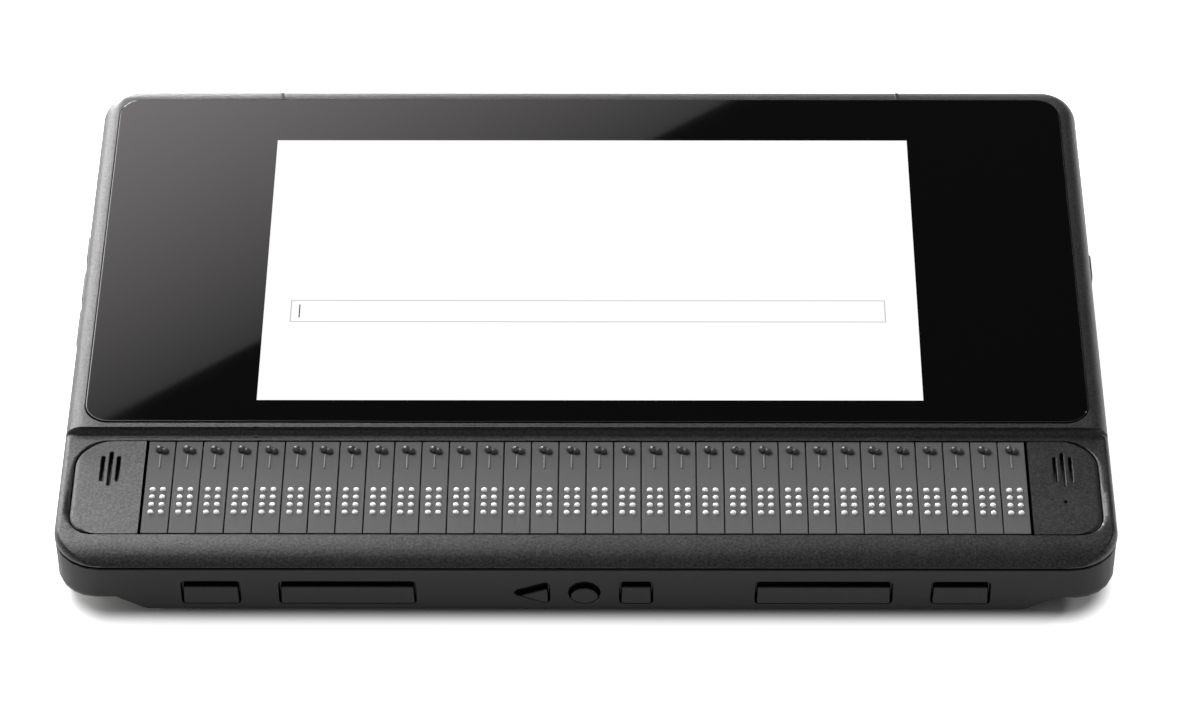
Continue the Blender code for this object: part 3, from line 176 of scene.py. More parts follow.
class PanelSettings(bpy.types.PropertyGroup):
    front_corner: length("Front corner", "Radius of an end panel's outer front corner", 6.2)
    rear_corner: length("Rear corner", "Radius of an end panel's outer rear corner", 8.0)
    bevel: length("Bevel", "Width of the bevel along an end panel's outer side", 0.95)
    bevel_depth: length("Bevel depth", "Depth of the bevel along an end panel's outer side", 0.45)
    inner_gap: length("Inner gap", "Extra gap between an end panel and the cells", 0.25)
    slot_width: length("Slot width", "Width of a sound slot", 0.85)
    slot_pitch: length("Slot pitch", "Distance between the sound slots", 1.83)
    slot_length: length("Slot length", "Length of an outer sound slot", 8.2)
    middle_slot_length: length("Middle slot length", "Length of the middle sound slot", 11.2)
    slot_flare: length("Slot flare", "Width of the slope round a sound slot", 0.16)
    slots_from_front: length("Slots from front", "Middle of the slots, from the front of the field", 21.25)
    microphone: length("Microphone", "Diameter of the microphone hole", 1.0)


class BrailleSettings(bpy.types.PropertyGroup):
    pitch: length("Cell pitch", "Distance from cell to cell", 6.42)
    groove: length("Groove", "Gap between two cell caps", 0.3)
    cap: length("Cap", "Thickness of a cell cap", 1.6)
    cap_edge: length("Cap edge", "Rounding round a cell cap", 0.14)
    dot_columns: length("Dot columns", "Distance between a cell's two columns of dots", 2.4)
    dot_rows: length("Dot rows", "Distance between a cell's rows of dots", 2.47)
    rows_from_front: length("Rows from front", "Middle of the dots, from the front of the field", 10.6)
    dot: length("Dot", "Diameter of a dot", 1.5)
    dot_height: length("Dot height", "Height of a raised dot", 0.4)
    pin_depth: length("Pin depth", "Depth of a dot's hole, and of the dot in it", 0.5)
    pin_gap: length("Pin gap", "How much wider than a dot its hole is", 0.16)
    pocket_depth: length("Pocket depth", "Depth of the pocket for a routing key", 1.35)
    pocket_gap: length("Pocket gap", "Gap round a routing key in its pocket", 0.06)
    ridge_height: length("Ridge height", "Height of a guide ridge", 0.2)
    ridge_edge: length("Ridge edge", "Rounding along a guide ridge", 0.15)
    ridge_from_front: length("Ridge place", "Front end of a guide ridge, from the front of the field", 21.3)
    ridge_length: length("Ridge length", "Length of a guide ridge", 4.6)
    ridge_width: length("Ridge width", "Width of a guide ridge", 0.45)
    ridge_offset: length("Ridge offset", "How far left of its cell's middle a guide ridge lies", 0.15)
    lobe: length("Lobe", "Radius of each round end of a routing key", 0.95)
    plate: length("Plate", "Thickness of a routing key's plate", 0.7)
    lobe_pitch: length("Lobe pitch", "Distance between a routing key's ball and its button", 1.7)
    lobe_tilt: tilt("Tilt", "Turn of the button about the ball, in plan", -18.0)
    ball: length("Ball", "Radius of a routing key's ball", 0.92)
    ball_shift: length("Ball shift", "How far right of its lobe's middle a ball lies", 0.12)
    ball_rise: length("Ball rise", "Middle of a routing key's ball, above the deck", 0.25)
    button: length("Button", "Radius of the lower button beside a routing key's ball", 0.92)
    button_shift: length("Button shift", "How far left of its lobe's middle a button lies", 0.24)
    button_rise: length("Button rise", "Middle of the lower button, above the deck", 0.04)
    cap_colour: colour("Caps", "Colour of the cell caps", "#59595a")
    dot_colour: colour("Dots", "Colour of the dots", "#fbfbf9")
    ball_colour: colour("Balls", "Colour of the routing keys' balls", "#161617")
    button_colour: colour("Buttons", "Colour of the lower buttons beside the balls", "#2e2e2f")
    # The ridges' paler grey paints the highlight along them.
    ridge_colour: colour("Guide ridges", "Colour of the guide ridges", "#646465")


class KeySettings(bpy.types.PropertyGroup):
    height: length("Height", "Height of a front key", 7.1)
    flange: length("Flange", "Width of the flange behind a front key", 0.9)
    flange_depth: length("Flange depth", "Thickness of the flange behind a front key", 1.2)
    drop: length("Drop", "From the top of a front key to its pressing face", 2.0)
    side_gap: length("Side gap", "How far a pressing face stays inside the sides of its key", 0.3)
    foot: length("Foot", "How far a pressing face reaches under the rim of its opening", 0.15)
    circle_drop: length("Circle drop", "From the top of the round key to its pressing face", 2.5)
    ledge: length("Ledge", "Depth of the recess above the pressing face", 1.6)
    corner: length("Corner", "Radius of a front key's corners", 0.8)
    edge: length("Edge", "Rounding round a front key's pressing face", 0.45)
    triangle_tip: FloatProperty(name="Triangle tip", description="How far right of the middle the tip is",
                                default=-17.695 * MM, unit='LENGTH')
    triangle_width: length("Triangle width", "Width of the triangular key", 9.25)
    circle: length("Circle", "Diameter of the round key", 7.1)
    button_flange: length("Button flange", "Width of the flange behind a side button", 0.6)
    button_corner: length("Button corner", "Radius of a side button's corners", 1.6)
    button_edge: length("Button edge", "Rounding round a side button's face", 0.5)
    key_colour: colour("Keys", "Colour of the keys and side buttons", "#19191a")


class ScreenSettings(bpy.types.PropertyGroup):
    width: length("Width", "Width of the lit screen", 157.5)
    depth: length("Depth", "Depth of the lit screen", 94.0)
    offset: length("Offset", "How far right of the middle the screen lies", 0.75)
    from_glass: length("From glass", "From the glass's front edge to the screen", 7.7)
    field_width: length("Field width", "Width of the entry field on the screen", 143.4)
    field_depth: length("Field depth", "Depth of the entry field on the screen", 7.8)
    field_from_front: length("Field place", "From the screen's front edge to the entry field's middle", 31.0)
    line: length("Line", "Width of the entry field's outline", 0.3)
    caret_height: length("Caret", "Height of the caret in the entry field", 4.6)
    caret_inset: length("Caret inset", "From the entry field's left end to the caret", 2.2)
    glass_edge: length("Glass edge", "Rounding round the glass's face", 0.2)
    glass_colour: colour("Glass", "Colour of the printed border under the glass", "#0b0b0c")
    line_colour: colour("Outline", "Colour of the entry field's outline", "#c9cacb")
    caret_colour: colour("Caret", "Colour of the caret", "#4a4a4a")


class StageSettings(bpy.types.PropertyGroup):
    lens: FloatProperty(name="Lens", description="Focal length of the camera in millimetres", default=143.78)
    camera_place: FloatVectorProperty(name="Camera", description="Where the camera stands", size=3,
                                      default=(0.00901, -0.84908, 0.80399), subtype='TRANSLATION',
                                      unit='LENGTH')
    pitch: tilt("Pitch", "How far the camera looks down", 43.295)
    yaw: tilt("Yaw", "Turn of the camera to the left", 0.409)
    roll: tilt("Roll", "Tilt of the camera", -0.235)
    softbox: amount("Softbox", "Strength of the big softbox, away from its edge", 2.9)
    softbox_edge: amount("Softbox edge", "Strength of the big softbox at its edge", 0.62)
    key: watts("Key", "Power of the lamp high behind on the left", 9.8)
    rear: watts("Rear", "Power of the lowest lamp, behind on the left", 26.0)
    rim: watts("Rim", "Power of the low lamp behind on the far left", 12.0)
    glint: watts("Glint", "Power of the small lamp on the right", 2.5)
    top: watts("Top", "Power of the highest lamp, behind on the left", 3.0)
    # The grey glow in front is a painted reflection: only reflections see the dome that gives it.
    front_reflection_glow: amount("Front cloth", "Strength of the grey cloth in front of the case", 0.5)
    sky: amount("Sky", "Strength of the light from all round", 0.15)
    # Holding the floor's glow back round the case paints shade there, on top of the lamps' own shadow.
    floor_glow: amount("Floor glow", "The floor's own white, away from the case", 0.95)
    shadow_under: length("Shadow under", "How far under the case the floor's own white ends", 1.9)
    shadow_reach: length("Shadow reach", "How far from the case the floor's own white begins in full", 4.3)


# Outlines and solids

def rounded_outline(corners, segments=10):
    """Points of a closed outline from (x, y, radius) corners, each corner rounded with an arc."""
    points = []
    for index, (x, y, radius) in enumerate(corners):
        corner = Vector((x, y))
        before = (Vector(corners[index - 1][:2]) - corner).normalized()
        after = (Vector(corners[(index + 1) % len(corners)][:2]) - corner).normalized()
        if radius == 0:
            points.append(corner)
            continue
        half = before.angle(after) / 2
        centre = corner + (before + after).normalized() * radius / math.sin(half)
        start = corner + before * radius / math.tan(half) - centre
        turn = math.pi - 2 * half
        if before.cross(after) > 0:
            turn = -turn
        points += [centre + Matrix.Rotation(turn * step / segments, 2) @ start
                   for step in range(segments + 1)]
    return points


def rectangle(width, depth, radius=0.0, centre=(0.0, 0.0), segments=6):
    x, y = centre
    corners = [(x + side * width / 2, y + end * depth / 2, radius)
               for side, end in ((-1, -1), (1, -1), (1, 1), (-1, 1))]
    return rounded_outline(corners, segments)


def circle(diameter, centre=(0.0, 0.0), sides=32):
    return [Vector(centre) + Matrix.Rotation(2 * math.pi * step / sides, 2) @ Vector((diameter / 2, 0))
            for step in range(sides)]


def grown(outline, distance):
    """A convex outline, wound anticlockwise, moved outwards all round by a distance."""
    points = []
    for index, point in enumerate(outline):
        before = (point - outline[index - 1]).normalized()
        after = (outline[(index + 1) % len(outline)] - point).normalized()
        normals = Vector((before.y, -before.x)), Vector((after.y, -after.x))
        points.append(point + (normals[0] + normals[1]) * distance / (1 + normals[0].dot(normals[1])))
    return points


def add_piece(name, bm):
    bmesh.ops.recalc_face_normals(bm, faces=bm.faces)
    mesh = bpy.data.meshes.new(name)
    bm.to_mesh(mesh)
    bm.free()
    piece = bpy.data.objects.new(name, mesh)
    bpy.context.scene.collection.objects.link(piece)
    return piece


def bridge(bm, rows):
    """Faces between closed rows of equally many vertices."""
    for lower, upper in zip(rows, rows[1:]):
        for index in range(len(lower)):
            bm.faces.new((lower[index - 1], lower[index], upper[index], upper[index - 1]))


def loft(name, rings, facing=FACING_UP):
    """A closed solid through rings of equally many points, capped at both ends."""
    bm = bmesh.new()
    rows = [[bm.verts.new(facing @ Vector(point)) for point in ring] for ring in rings]
    bridge(bm, rows)
    bm.faces.new(rows[0])
    bm.faces.new(rows[-1])
    return add_piece(name, bm)


def at_level(outline, z):
    return [(point.x, point.y, z) for point in outline]


def block(name, outline, low, high, edge=0.0, facing=FACING_UP, steps=3):
    """An outline raised from one level to another, with a rounded edge round its top."""
    rings = [at_level(outline, low), at_level(outline, high - edge)]
    for step in range(1, steps + 1 if edge else 1):
        angle = math.pi / 2 * step / steps
        rings.append(at_level(grown(outline, -edge * (1 - math.cos(angle))),
                              high - edge * (1 - math.sin(angle))))
    return loft(name, rings, facing)


def flared_hole(outline, low, top, flare):
    """A cutter for an opening with a chamfer where it meets the surface at its top."""
    rings = [at_level(outline, low), at_level(outline, top - flare), at_level(grown(outline, flare), top),
             at_level(grown(outline, flare), top + CUTTER_REACH)]
    return loft("cutter", rings)


def stretched(outline, distance, still=0.0):
    """An outline whose far ends move along X by a distance, in proportion to their place from one X."""
    reach = max(abs(point.x - still) for point in outline)
    return [Vector((still + (point.x - still) * (1 + distance / reach), point.y)) for point in outline]


def turned(profile, place, sides=20):
    """A solid of revolution about Z from (radius, height) points, the last of them on the axis."""
    bm = bmesh.new()
    x, y, z = place
    rows = []
    for radius, height in profile[:-1]:
        rows.append([bm.verts.new((x + radius * math.cos(2 * math.pi * side / sides),
                                   y + radius * math.sin(2 * math.pi * side / sides), z + height))
                     for side in range(sides)])
    bridge(bm, rows)
    tip = bm.verts.new((x, y, z + profile[-1][1]))
    for side in range(sides):
        bm.faces.new((rows[-1][side - 1], rows[-1][side], tip))
    bm.faces.new(rows[0])
    return add_piece("turned", bm)


def carved(piece, cutters=(), added=()):
    """Join the added solids to a piece and cut the cutters away, as one finished mesh."""
    for operation, tools in (('UNION', added), ('DIFFERENCE', cutters)):
        for tool in tools:
            step = piece.modifiers.new("carve", 'BOOLEAN')
            step.object = tool
            step.operation = operation
    evaluated = piece.evaluated_get(bpy.context.evaluated_depsgraph_get())
    mesh = bpy.data.meshes.new_from_object(evaluated)
    piece.modifiers.clear()
    piece.data = mesh
    for tool in (*added, *cutters):
        bpy.data.objects.remove(tool)
    return piece


def gathered(name, parts):
    """One piece that holds the meshes of several, which are removed."""
    bm = bmesh.new()
    for part in parts:
        part.data.transform(part.matrix_basis)
        bm.from_mesh(part.data)
        bpy.data.objects.remove(part)
    return add_piece(name, bm)


def copies(part, places):
    """The part and copies of its mesh, one at each place."""
    made = []
    for place in places:
        copy = bpy.data.objects.new(part.name, part.data.copy())
        copy.location = place
        bpy.context.scene.collection.objects.link(copy)
        made.append(copy)
    bpy.data.objects.remove(part)
    return made


def dress(piece, name, finish, body="case", nodes=(), sharp=35.0, weighted=True):
    """Name a piece, shade it smooth up to its hard edges, give it its finish and let it ride."""
    piece.name = piece.data.name = name
    piece.data.shade_smooth()
    piece.data.set_sharp_from_angle(angle=math.radians(sharp))
    if weighted:
        piece.modifiers.new("face-weighted normals", 'WEIGHTED_NORMAL').keep_sharp = True
    piece.data.materials.clear()
    piece.data.materials.append(finish)
    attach(piece, body)
    if nodes:
        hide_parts(*nodes)
    return piece


# Finishes

def linear(hex_value):
    """An sRGB hex value as a linear colour."""
    channels = [int(hex_value[index:index + 2], 16) / 255 for index in (1, 3, 5)]
    return (*[c / 12.92 if c <= 0.04045 else ((c + 0.055) / 1.055) ** 2.4 for c in channels], 1.0)


def connect(tree, node, inputs):
    """Give a node's sockets, by name or number, a value or another node's output."""
    for socket, value in inputs.items():
        if isinstance(value, bpy.types.NodeSocket):
            tree.links.new(value, node.inputs[socket])
        else:
            node.inputs[socket].default_value = value


def add_node(tree, kind, inputs=None, **settings):
    """Add a node; inputs gives a value or another node's output for each socket's name or number."""
    made = tree.nodes.new(kind)
    for name, value in settings.items():
        setattr(made, name, value)
    connect(tree, made, inputs or {})
    return made


def noise(tree, place, grain_mm, detail, roughness=0.5):
    """Noise whose patches are about so many millimetres across."""
    inputs = {"Vector": place, "Scale": 1 / (grain_mm * MM), "Detail": detail, "Roughness": roughness}
    return add_node(tree, 'ShaderNodeTexNoise', inputs).outputs["Fac"]


def remap(tree, value, start, end, low, high, **settings):
    """A value that goes from start to end, made to go from low to high and to stay within them."""
    inputs = {"Value": value, "From Min": start, "From Max": end, "To Min": low, "To Max": high}
    return add_node(tree, 'ShaderNodeMapRange', inputs, **settings).outputs["Result"]


def arithmetic(tree, operation, first, second, **settings):
    """The output of one sum, product or the like."""
    return add_node(tree, 'ShaderNodeMath', {0: first, 1: second}, operation=operation, **settings).outputs[0]


def bump(tree, height, relief_mm):
    """The normals of a surface that a height raises by up to so many millimetres."""
    return add_node(tree, 'ShaderNodeBump', {"Height": height, "Distance": relief_mm * MM}).outputs["Normal"]


def start_finish(name):
    """A new material, its node tree, its shader and the object's own coordinates."""
    finish = bpy.data.materials.new(name)
    finish.use_nodes = True
    tree = finish.node_tree
    place = add_node(tree, 'ShaderNodeTexCoord').outputs["Object"]
    return finish, tree, tree.nodes["Principled BSDF"], place


def moulded_plastic(name, hex_value, roughness, grain_mm, relief_mm, mottle, patch_mm=9.0, specular=0.5):
    """A moulded plastic: grain left by the mould, its colour and its gloss a little uneven."""
    finish, tree, shader, place = start_finish(name)
    grain = noise(tree, place, grain_mm, 3.0, 0.65)
    patches = noise(tree, place, patch_mm, 2.0)
    both = add_node(tree, 'ShaderNodeMix', {"Factor": 0.3, "A": grain, "B": patches}).outputs["Result"]
    shades = add_node(tree, 'ShaderNodeValToRGB', {"Fac": both})
    for stop, position, shade in zip(shades.color_ramp.elements, (0.35, 0.65), (1 - mottle, 1 + mottle)):
        stop.position = position
        stop.color = (*[channel * shade for channel in linear(hex_value)[:3]], 1.0)
    shine = remap(tree, grain, 0.35, 0.65, specular * (1 - mottle), specular * (1 + mottle))
    connect(tree, shader, {"Base Color": shades.outputs["Color"], "Specular IOR Level": shine, "IOR": 1.53,
                           "Roughness": remap(tree, both, 0.3, 0.7, roughness - 0.05, roughness + 0.07),
                           "Normal": bump(tree, grain, relief_mm)})
    return finish


def spark_eroded_abs(settings):
    """ABS from a spark-eroded mould: a fine pitted grain that breaks up the light into speckle."""
    return moulded_plastic("spark-eroded ABS", settings.shell_colour, 0.4, 0.55, 0.07, 0.35, 9.0, 0.35)


def satin_abs(settings):
    """ABS from a blasted mould: even and satin, with a grain that hardly shows."""
    return moulded_plastic("satin ABS", settings.lower_colour, 0.46, 0.22, 0.008, 0.06, 9.0, 0.2)


def cell_plastic(name, settings):
    """The matt, even plastic of the cell caps and of the routing keys' plates."""
    return moulded_plastic(name, settings.cap_colour, 0.7, 0.6, 0.006, 0.05, 5.0, 0.25)


def key_plastic(name, settings):
    """The satin plastic of the front keys and the side buttons, smoother than the shell."""
    return moulded_plastic(name, settings.key_colour, 0.24, 0.22, 0.004, 0.05, 9.0, 0.22)


def lit_surface(name, hex_value):
    """A part of the lit screen: it gives its own light and hardly reflects."""
    finish, tree, shader, _ = start_finish(name)
    connect(tree, shader, {"Base Color": linear("#101010"), "Roughness": 0.3, "Specular IOR Level": 0.0,
                           "Emission Color": linear(hex_value), "Emission Strength": 1.0})
    return finish


def printed_glass(settings):
    """Toughened glass over a black print: polished, with faint smears in its gloss."""
    finish, tree, shader, place = start_finish("toughened glass over black print")
    smear = noise(tree, place, 28, 3.0)
    connect(tree, shader, {"Base Color": linear(settings.glass_colour), "IOR": 1.5,
                           "Roughness": remap(tree, smear, 0.3, 0.7, 0.015, 0.03)})
    return finish


def plain_finish(name, hex_value, roughness, metallic=0.0, grain_mm=0.4, relief_mm=0.004):
    """A finish for the plainer parts, with a little unevenness in its gloss and surface."""
    finish, tree, shader, place = start_finish(name)
    grain = noise(tree, place, grain_mm, 2.0)
    connect(tree, shader, {"Base Color": linear(hex_value), "Metallic": metallic,
                           "Roughness": remap(tree, grain, 0.0, 1.0, roughness * 0.85, roughness * 1.15),
                           "Normal": bump(tree, grain, relief_mm)})
    return finish


def white_nylon(settings):
    """The dots' nylon, which lets some light through."""
    finish = plain_finish("white nylon", settings.dot_colour, 0.35)
    connect(finish.node_tree, finish.node_tree.nodes["Principled BSDF"],
            {"Subsurface Weight": 0.85, "Subsurface Radius": (1.0, 1.0, 1.0), "Subsurface Scale": 0.8 * MM})
    return finish


def circuit_board_finish(name, top, rear):
    """Green solder resist with paler tracks, and plated steel above the board's top and behind it."""
    finish, tree, shader, place = start_finish(name)
    greens = {"Color1": linear("#0d3b22"), "Color2": linear("#0f4226"), "Mortar": linear("#1c5a36")}
    layout = {"Vector": place, "Scale": 1 / (6 * MM), "Mortar Size": 0.06}
    tracks = add_node(tree, 'ShaderNodeTexBrick', layout | greens)
    split = add_node(tree, 'ShaderNodeSeparateXYZ', {"Vector": place}).outputs
    above, behind = [remap(tree, split[axis], edge, edge + 0.05 * MM, 0.0, 1.0)
                     for axis, edge in (("Z", top), ("Y", rear))]
    plated = arithmetic(tree, 'MAXIMUM', above, behind)
    mixed = add_node(tree, 'ShaderNodeMix', {"Factor": plated, 6: tracks.outputs["Color"],
                                             7: linear("#8d8e90")}, data_type='RGBA')
    connect(tree, shader, {"Base Color": mixed.outputs[2], "Metallic": plated, "Roughness": 0.35})
    return finish


# Upper shell

def climb(case, y):
    """How far up the step a place is: 0 on the deck, 1 on the shelf."""
    return min(max((y - FIELD_REAR_Y - case.step_margin) / case.step, 0.0), 1.0)


def outer_height(case, y):
    """Height of the upper shell along its middle: nose, deck, step, shelf and rear edge."""
    y = min(max(y, FRONT_Y), REAR_Y)
    height = DECK_Z + (SHELF_Z - DECK_Z) * (1 - math.sqrt(1 - climb(case, y) ** 2))
    if y < FRONT_Y + case.nose:
        reach = NOSE_TURN * (FRONT_Y + case.nose - y) / case.nose
        fall = (1 - math.sqrt(1 - reach ** 2)) / (1 - math.sqrt(1 - NOSE_TURN ** 2))
        height -= (DECK_Z - PARTING_Z - case.nose_lip) * fall
    if y > REAR_Y - case.rear_edge:
        reach = (y - REAR_Y + case.rear_edge) / case.rear_edge
        height -= (SHELF_Z - PARTING_Z - case.rear_lip) * (1 - math.sqrt(max(1 - reach ** 2, 0.0)))
    return height


def half_width(case, y, inset):
    half = UPPER_HIGH.x - inset
    front, rear = case.front_corner - inset, case.rear_corner - inset
    into_front = max(FRONT_Y + case.front_corner - y, 0.0)
    into_rear = max(y - REAR_Y + case.rear_corner, 0.0)
    half -= front - math.sqrt(max(front ** 2 - into_front ** 2, 0.0))
    half -= rear - math.sqrt(max(rear ** 2 - into_rear ** 2, 0.0))
    return half


def upper_section(case, y, inset, bottom, segments):
    """One section across the upper shell: upright sides that turn into the top along an ellipse."""
    half = half_width(case, y, inset)
    top = min(outer_height(case, y - inset), outer_height(case, y + inset)) - inset
    spring = PARTING_Z + case.side_lip - inset
    rise = climb(case, y)
    edge = max(case.side_edge + (case.shelf_edge - case.side_edge) * rise - inset, CLEARANCE)
    angles = [math.pi / 2 * step / segments for step in range(segments + 1)]
    right = [(half - edge + edge * math.cos(angle), spring + (top - spring) * math.sin(angle))
             for angle in angles]
    beside_field = min(max((y - FIELD_FRONT_Y) / DISH_RAMP, 0.0), 1.0)
    dish = case.dish * (1 - rise) * beside_field ** 2 * (3 - 2 * beside_field)
    right.append((half - edge - DISH_SHOULDER, top - dish))
    left = [(-x, z) for x, z in reversed(right)]
    return [(x, y, z) for x, z in [(half, bottom)] + right + left + [(-half, bottom)]]


def upper_solid(case, inset, bottom, segments):
    """The upper shell's outer solid, or its hollow when an inset is given."""
    front, rear = FRONT_Y + inset, REAR_Y - inset
    places = []
    for step in range(segments + 1):
        ease = 1 - math.cos(math.pi / 2 * step / segments)
        places += [front + ease * (case.front_corner - inset), rear - ease * (case.rear_corner - inset),
                   front + ease * case.nose, rear - ease * case.rear_edge,
                   FIELD_REAR_Y + case.step_margin + inset + case.step * step / segments,
                   FIELD_FRONT_Y + DISH_RAMP * step / segments]
    kept = [front]
    for place in sorted(places):
        if place - kept[-1] > CLEARANCE / 3 and rear - place > CLEARANCE / 3:
            kept.append(place)
    rings = [upper_section(case, y, inset, bottom, max(segments // 2, 3)) for y in kept + [rear]]
    return loft("upper_shell", rings)


def field_outline(case, panel):
    """Outline of the braille field with both end panels."""
    x = PANEL_HIGH.x
    return rounded_outline([(-x, FIELD_FRONT_Y, panel.front_corner), (x, FIELD_FRONT_Y, panel.front_corner),
                            (x, FIELD_REAR_Y, panel.rear_corner), (-x, FIELD_REAR_Y, panel.rear_corner)], 14)


def glass_outline(case):
    front, rear = GLASS_LOW.y + case.glass_front, GLASS_HIGH.y + case.glass_rear
    return rectangle(GLASS_HIGH.x - GLASS_LOW.x, rear - front, case.glass_corner,
                     ((GLASS_LOW.x + GLASS_HIGH.x) / 2, (front + rear) / 2), 14)


class NOTETAKER_OT_upper_shell(bpy.types.Operator):
    """Mould the upper shell, with its step, raised marks and openings"""
    bl_idname = "notetaker.upper_shell"
    bl_label = "Upper shell"

    def execute(self, context):
        case, panel = context.scene.notetaker_case, context.scene.notetaker_panels
        shell = upper_solid(case, 0.0, PARTING_Z, 20)
        hollow = upper_solid(case, case.wall, LOWER_LOW.z, 6)
        display_low, display_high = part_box("display_module")
        display = rectangle(*(display_high - display_low).xy, 0.0, ((display_low + display_high) / 2).xy)
        cutters = [hollow,
                   flared_hole(grown(glass_outline(case), case.glass_gap), GLASS_LOW.z - CLEARANCE, SHELF_Z,
                               case.glass_flare),
                   block("display_window", grown(display, CLEARANCE), LOWER_LOW.z, GLASS_HIGH.z),
                   self.window(case, grown(field_outline(case, panel), case.window_gap))]
        carved(shell, cutters)
        posts = [block("boss", circle(case.boss, place), UPPER_LOW.z, SHELF_Z - case.wall + CLEARANCE)
                 for place in SCREW_PLACES]
        carved(shell, (), posts + self.marks(case))
        dress(shell, "upper_shell", spark_eroded_abs(case), nodes=["top_case"], sharp=40)
        return {'FINISHED'}

    def window(self, case, outline):
        """The cutter for the braille window, which slopes outwards at both of its ends."""
        wide = at_level(stretched(outline, case.window_flare), DECK_Z)
        rings = [at_level(outline, LOWER_LOW.z), at_level(outline, DECK_Z - case.window_slope), wide,
                 [(x, y, z + CUTTER_REACH) for x, y, z in wide]]
        return loft("window", rings)

    def marks(self, case):
        """Short ridges on the step and on the rear rim, in line with the screen's ends."""
        half, rise = case.mark_width / 2, case.mark_rise
        foot = FIELD_REAR_Y + case.step_margin
        places = [foot + case.step * step / 8 for step in range(10)]
        low = [Vector((y, outer_height(case, y) - rise)) for y in places]
        profile = low + [point + Vector((0, 1.6 * rise)) for point in reversed(low)]
        made = []
        for side in (-1, 1):
            x = side * case.mark_spacing / 2
            made.append(block("mark", profile, x - half, x + half, 0.0, FACING_RIGHT))
            rim = rectangle(case.mark_width, case.mark_length, 0.2 * MM, (x, REAR_Y - case.mark_from_rear))
            made.append(block("mark", rim, SHELF_Z - rise, SHELF_Z + rise, 0.1 * MM))
        return made


class NOTETAKER_OT_lower_shell(bpy.types.Operator):
    """Smooth the lower shell and put its screws in"""
    bl_idname = "notetaker.lower_shell"
    bl_label = "Lower shell"

    def execute(self, context):
        case = context.scene.notetaker_case
        bm = bmesh.new()
        bm.from_mesh(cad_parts["bottom_case"].data)
        bmesh.ops.remove_doubles(bm, verts=bm.verts, dist=0.001 * MM)
        bmesh.ops.dissolve_limit(bm, angle_limit=math.radians(0.3), verts=bm.verts, edges=bm.edges)
        shell = add_piece("lower_shell", bm)
        dress(shell, "lower_shell", satin_abs(case), nodes=["bottom_case"], sharp=28)
        steel = plain_finish("zinc-plated steel", "#8d8f92", 0.3, 1.0)
        for number, place in enumerate(SCREW_PLACES, 1):
            dress(self.screw(place), f"case_screw_{number}", steel)
        return {'FINISHED'}

    def screw(self, place):
        """A countersunk screw with a cross recess, head down in its counterbore."""
        profile = [(radius * MM, height * MM) for radius, height in SCREW_PROFILE_MM]
        head = turned(profile, (*place, SCREW_SEAT_Z), 28)
        bottom, top = SCREW_SEAT_Z - 3 * MM, SCREW_SEAT_Z - 0.5 * MM
        arms = [block("arm", rectangle(wide * MM, deep * MM, 0.1 * MM, place), bottom, top)
                for wide, deep in (CROSS_MM, reversed(CROSS_MM))]
        return carved(head, arms)


# Braille field

def cell_x(braille, index):
    return (index - (CELL_COUNT - 1) / 2) * braille.pitch


def lobes(braille):
    half = Matrix.Rotation(braille.lobe_tilt, 2) @ Vector((braille.lobe_pitch / 2, 0))
    return -half, half


def routing_outline(braille, margin, centre=(0.0, 0.0)):
    """A stadium round both lobes of a routing key."""
    points = []
    for lobe, turn in zip(lobes(braille), (math.pi / 2, -math.pi / 2)):
        for step in range(11):
            angle = braille.lobe_tilt + turn + math.pi * step / 10
            points.append(Vector(centre) + lobe
                          + (braille.lobe + margin) * Vector((math.cos(angle), math.sin(angle))))
    return points


def routing_centre(number):
    low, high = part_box(f"routing_button_{number:02d}")
    return (low + high) / 2


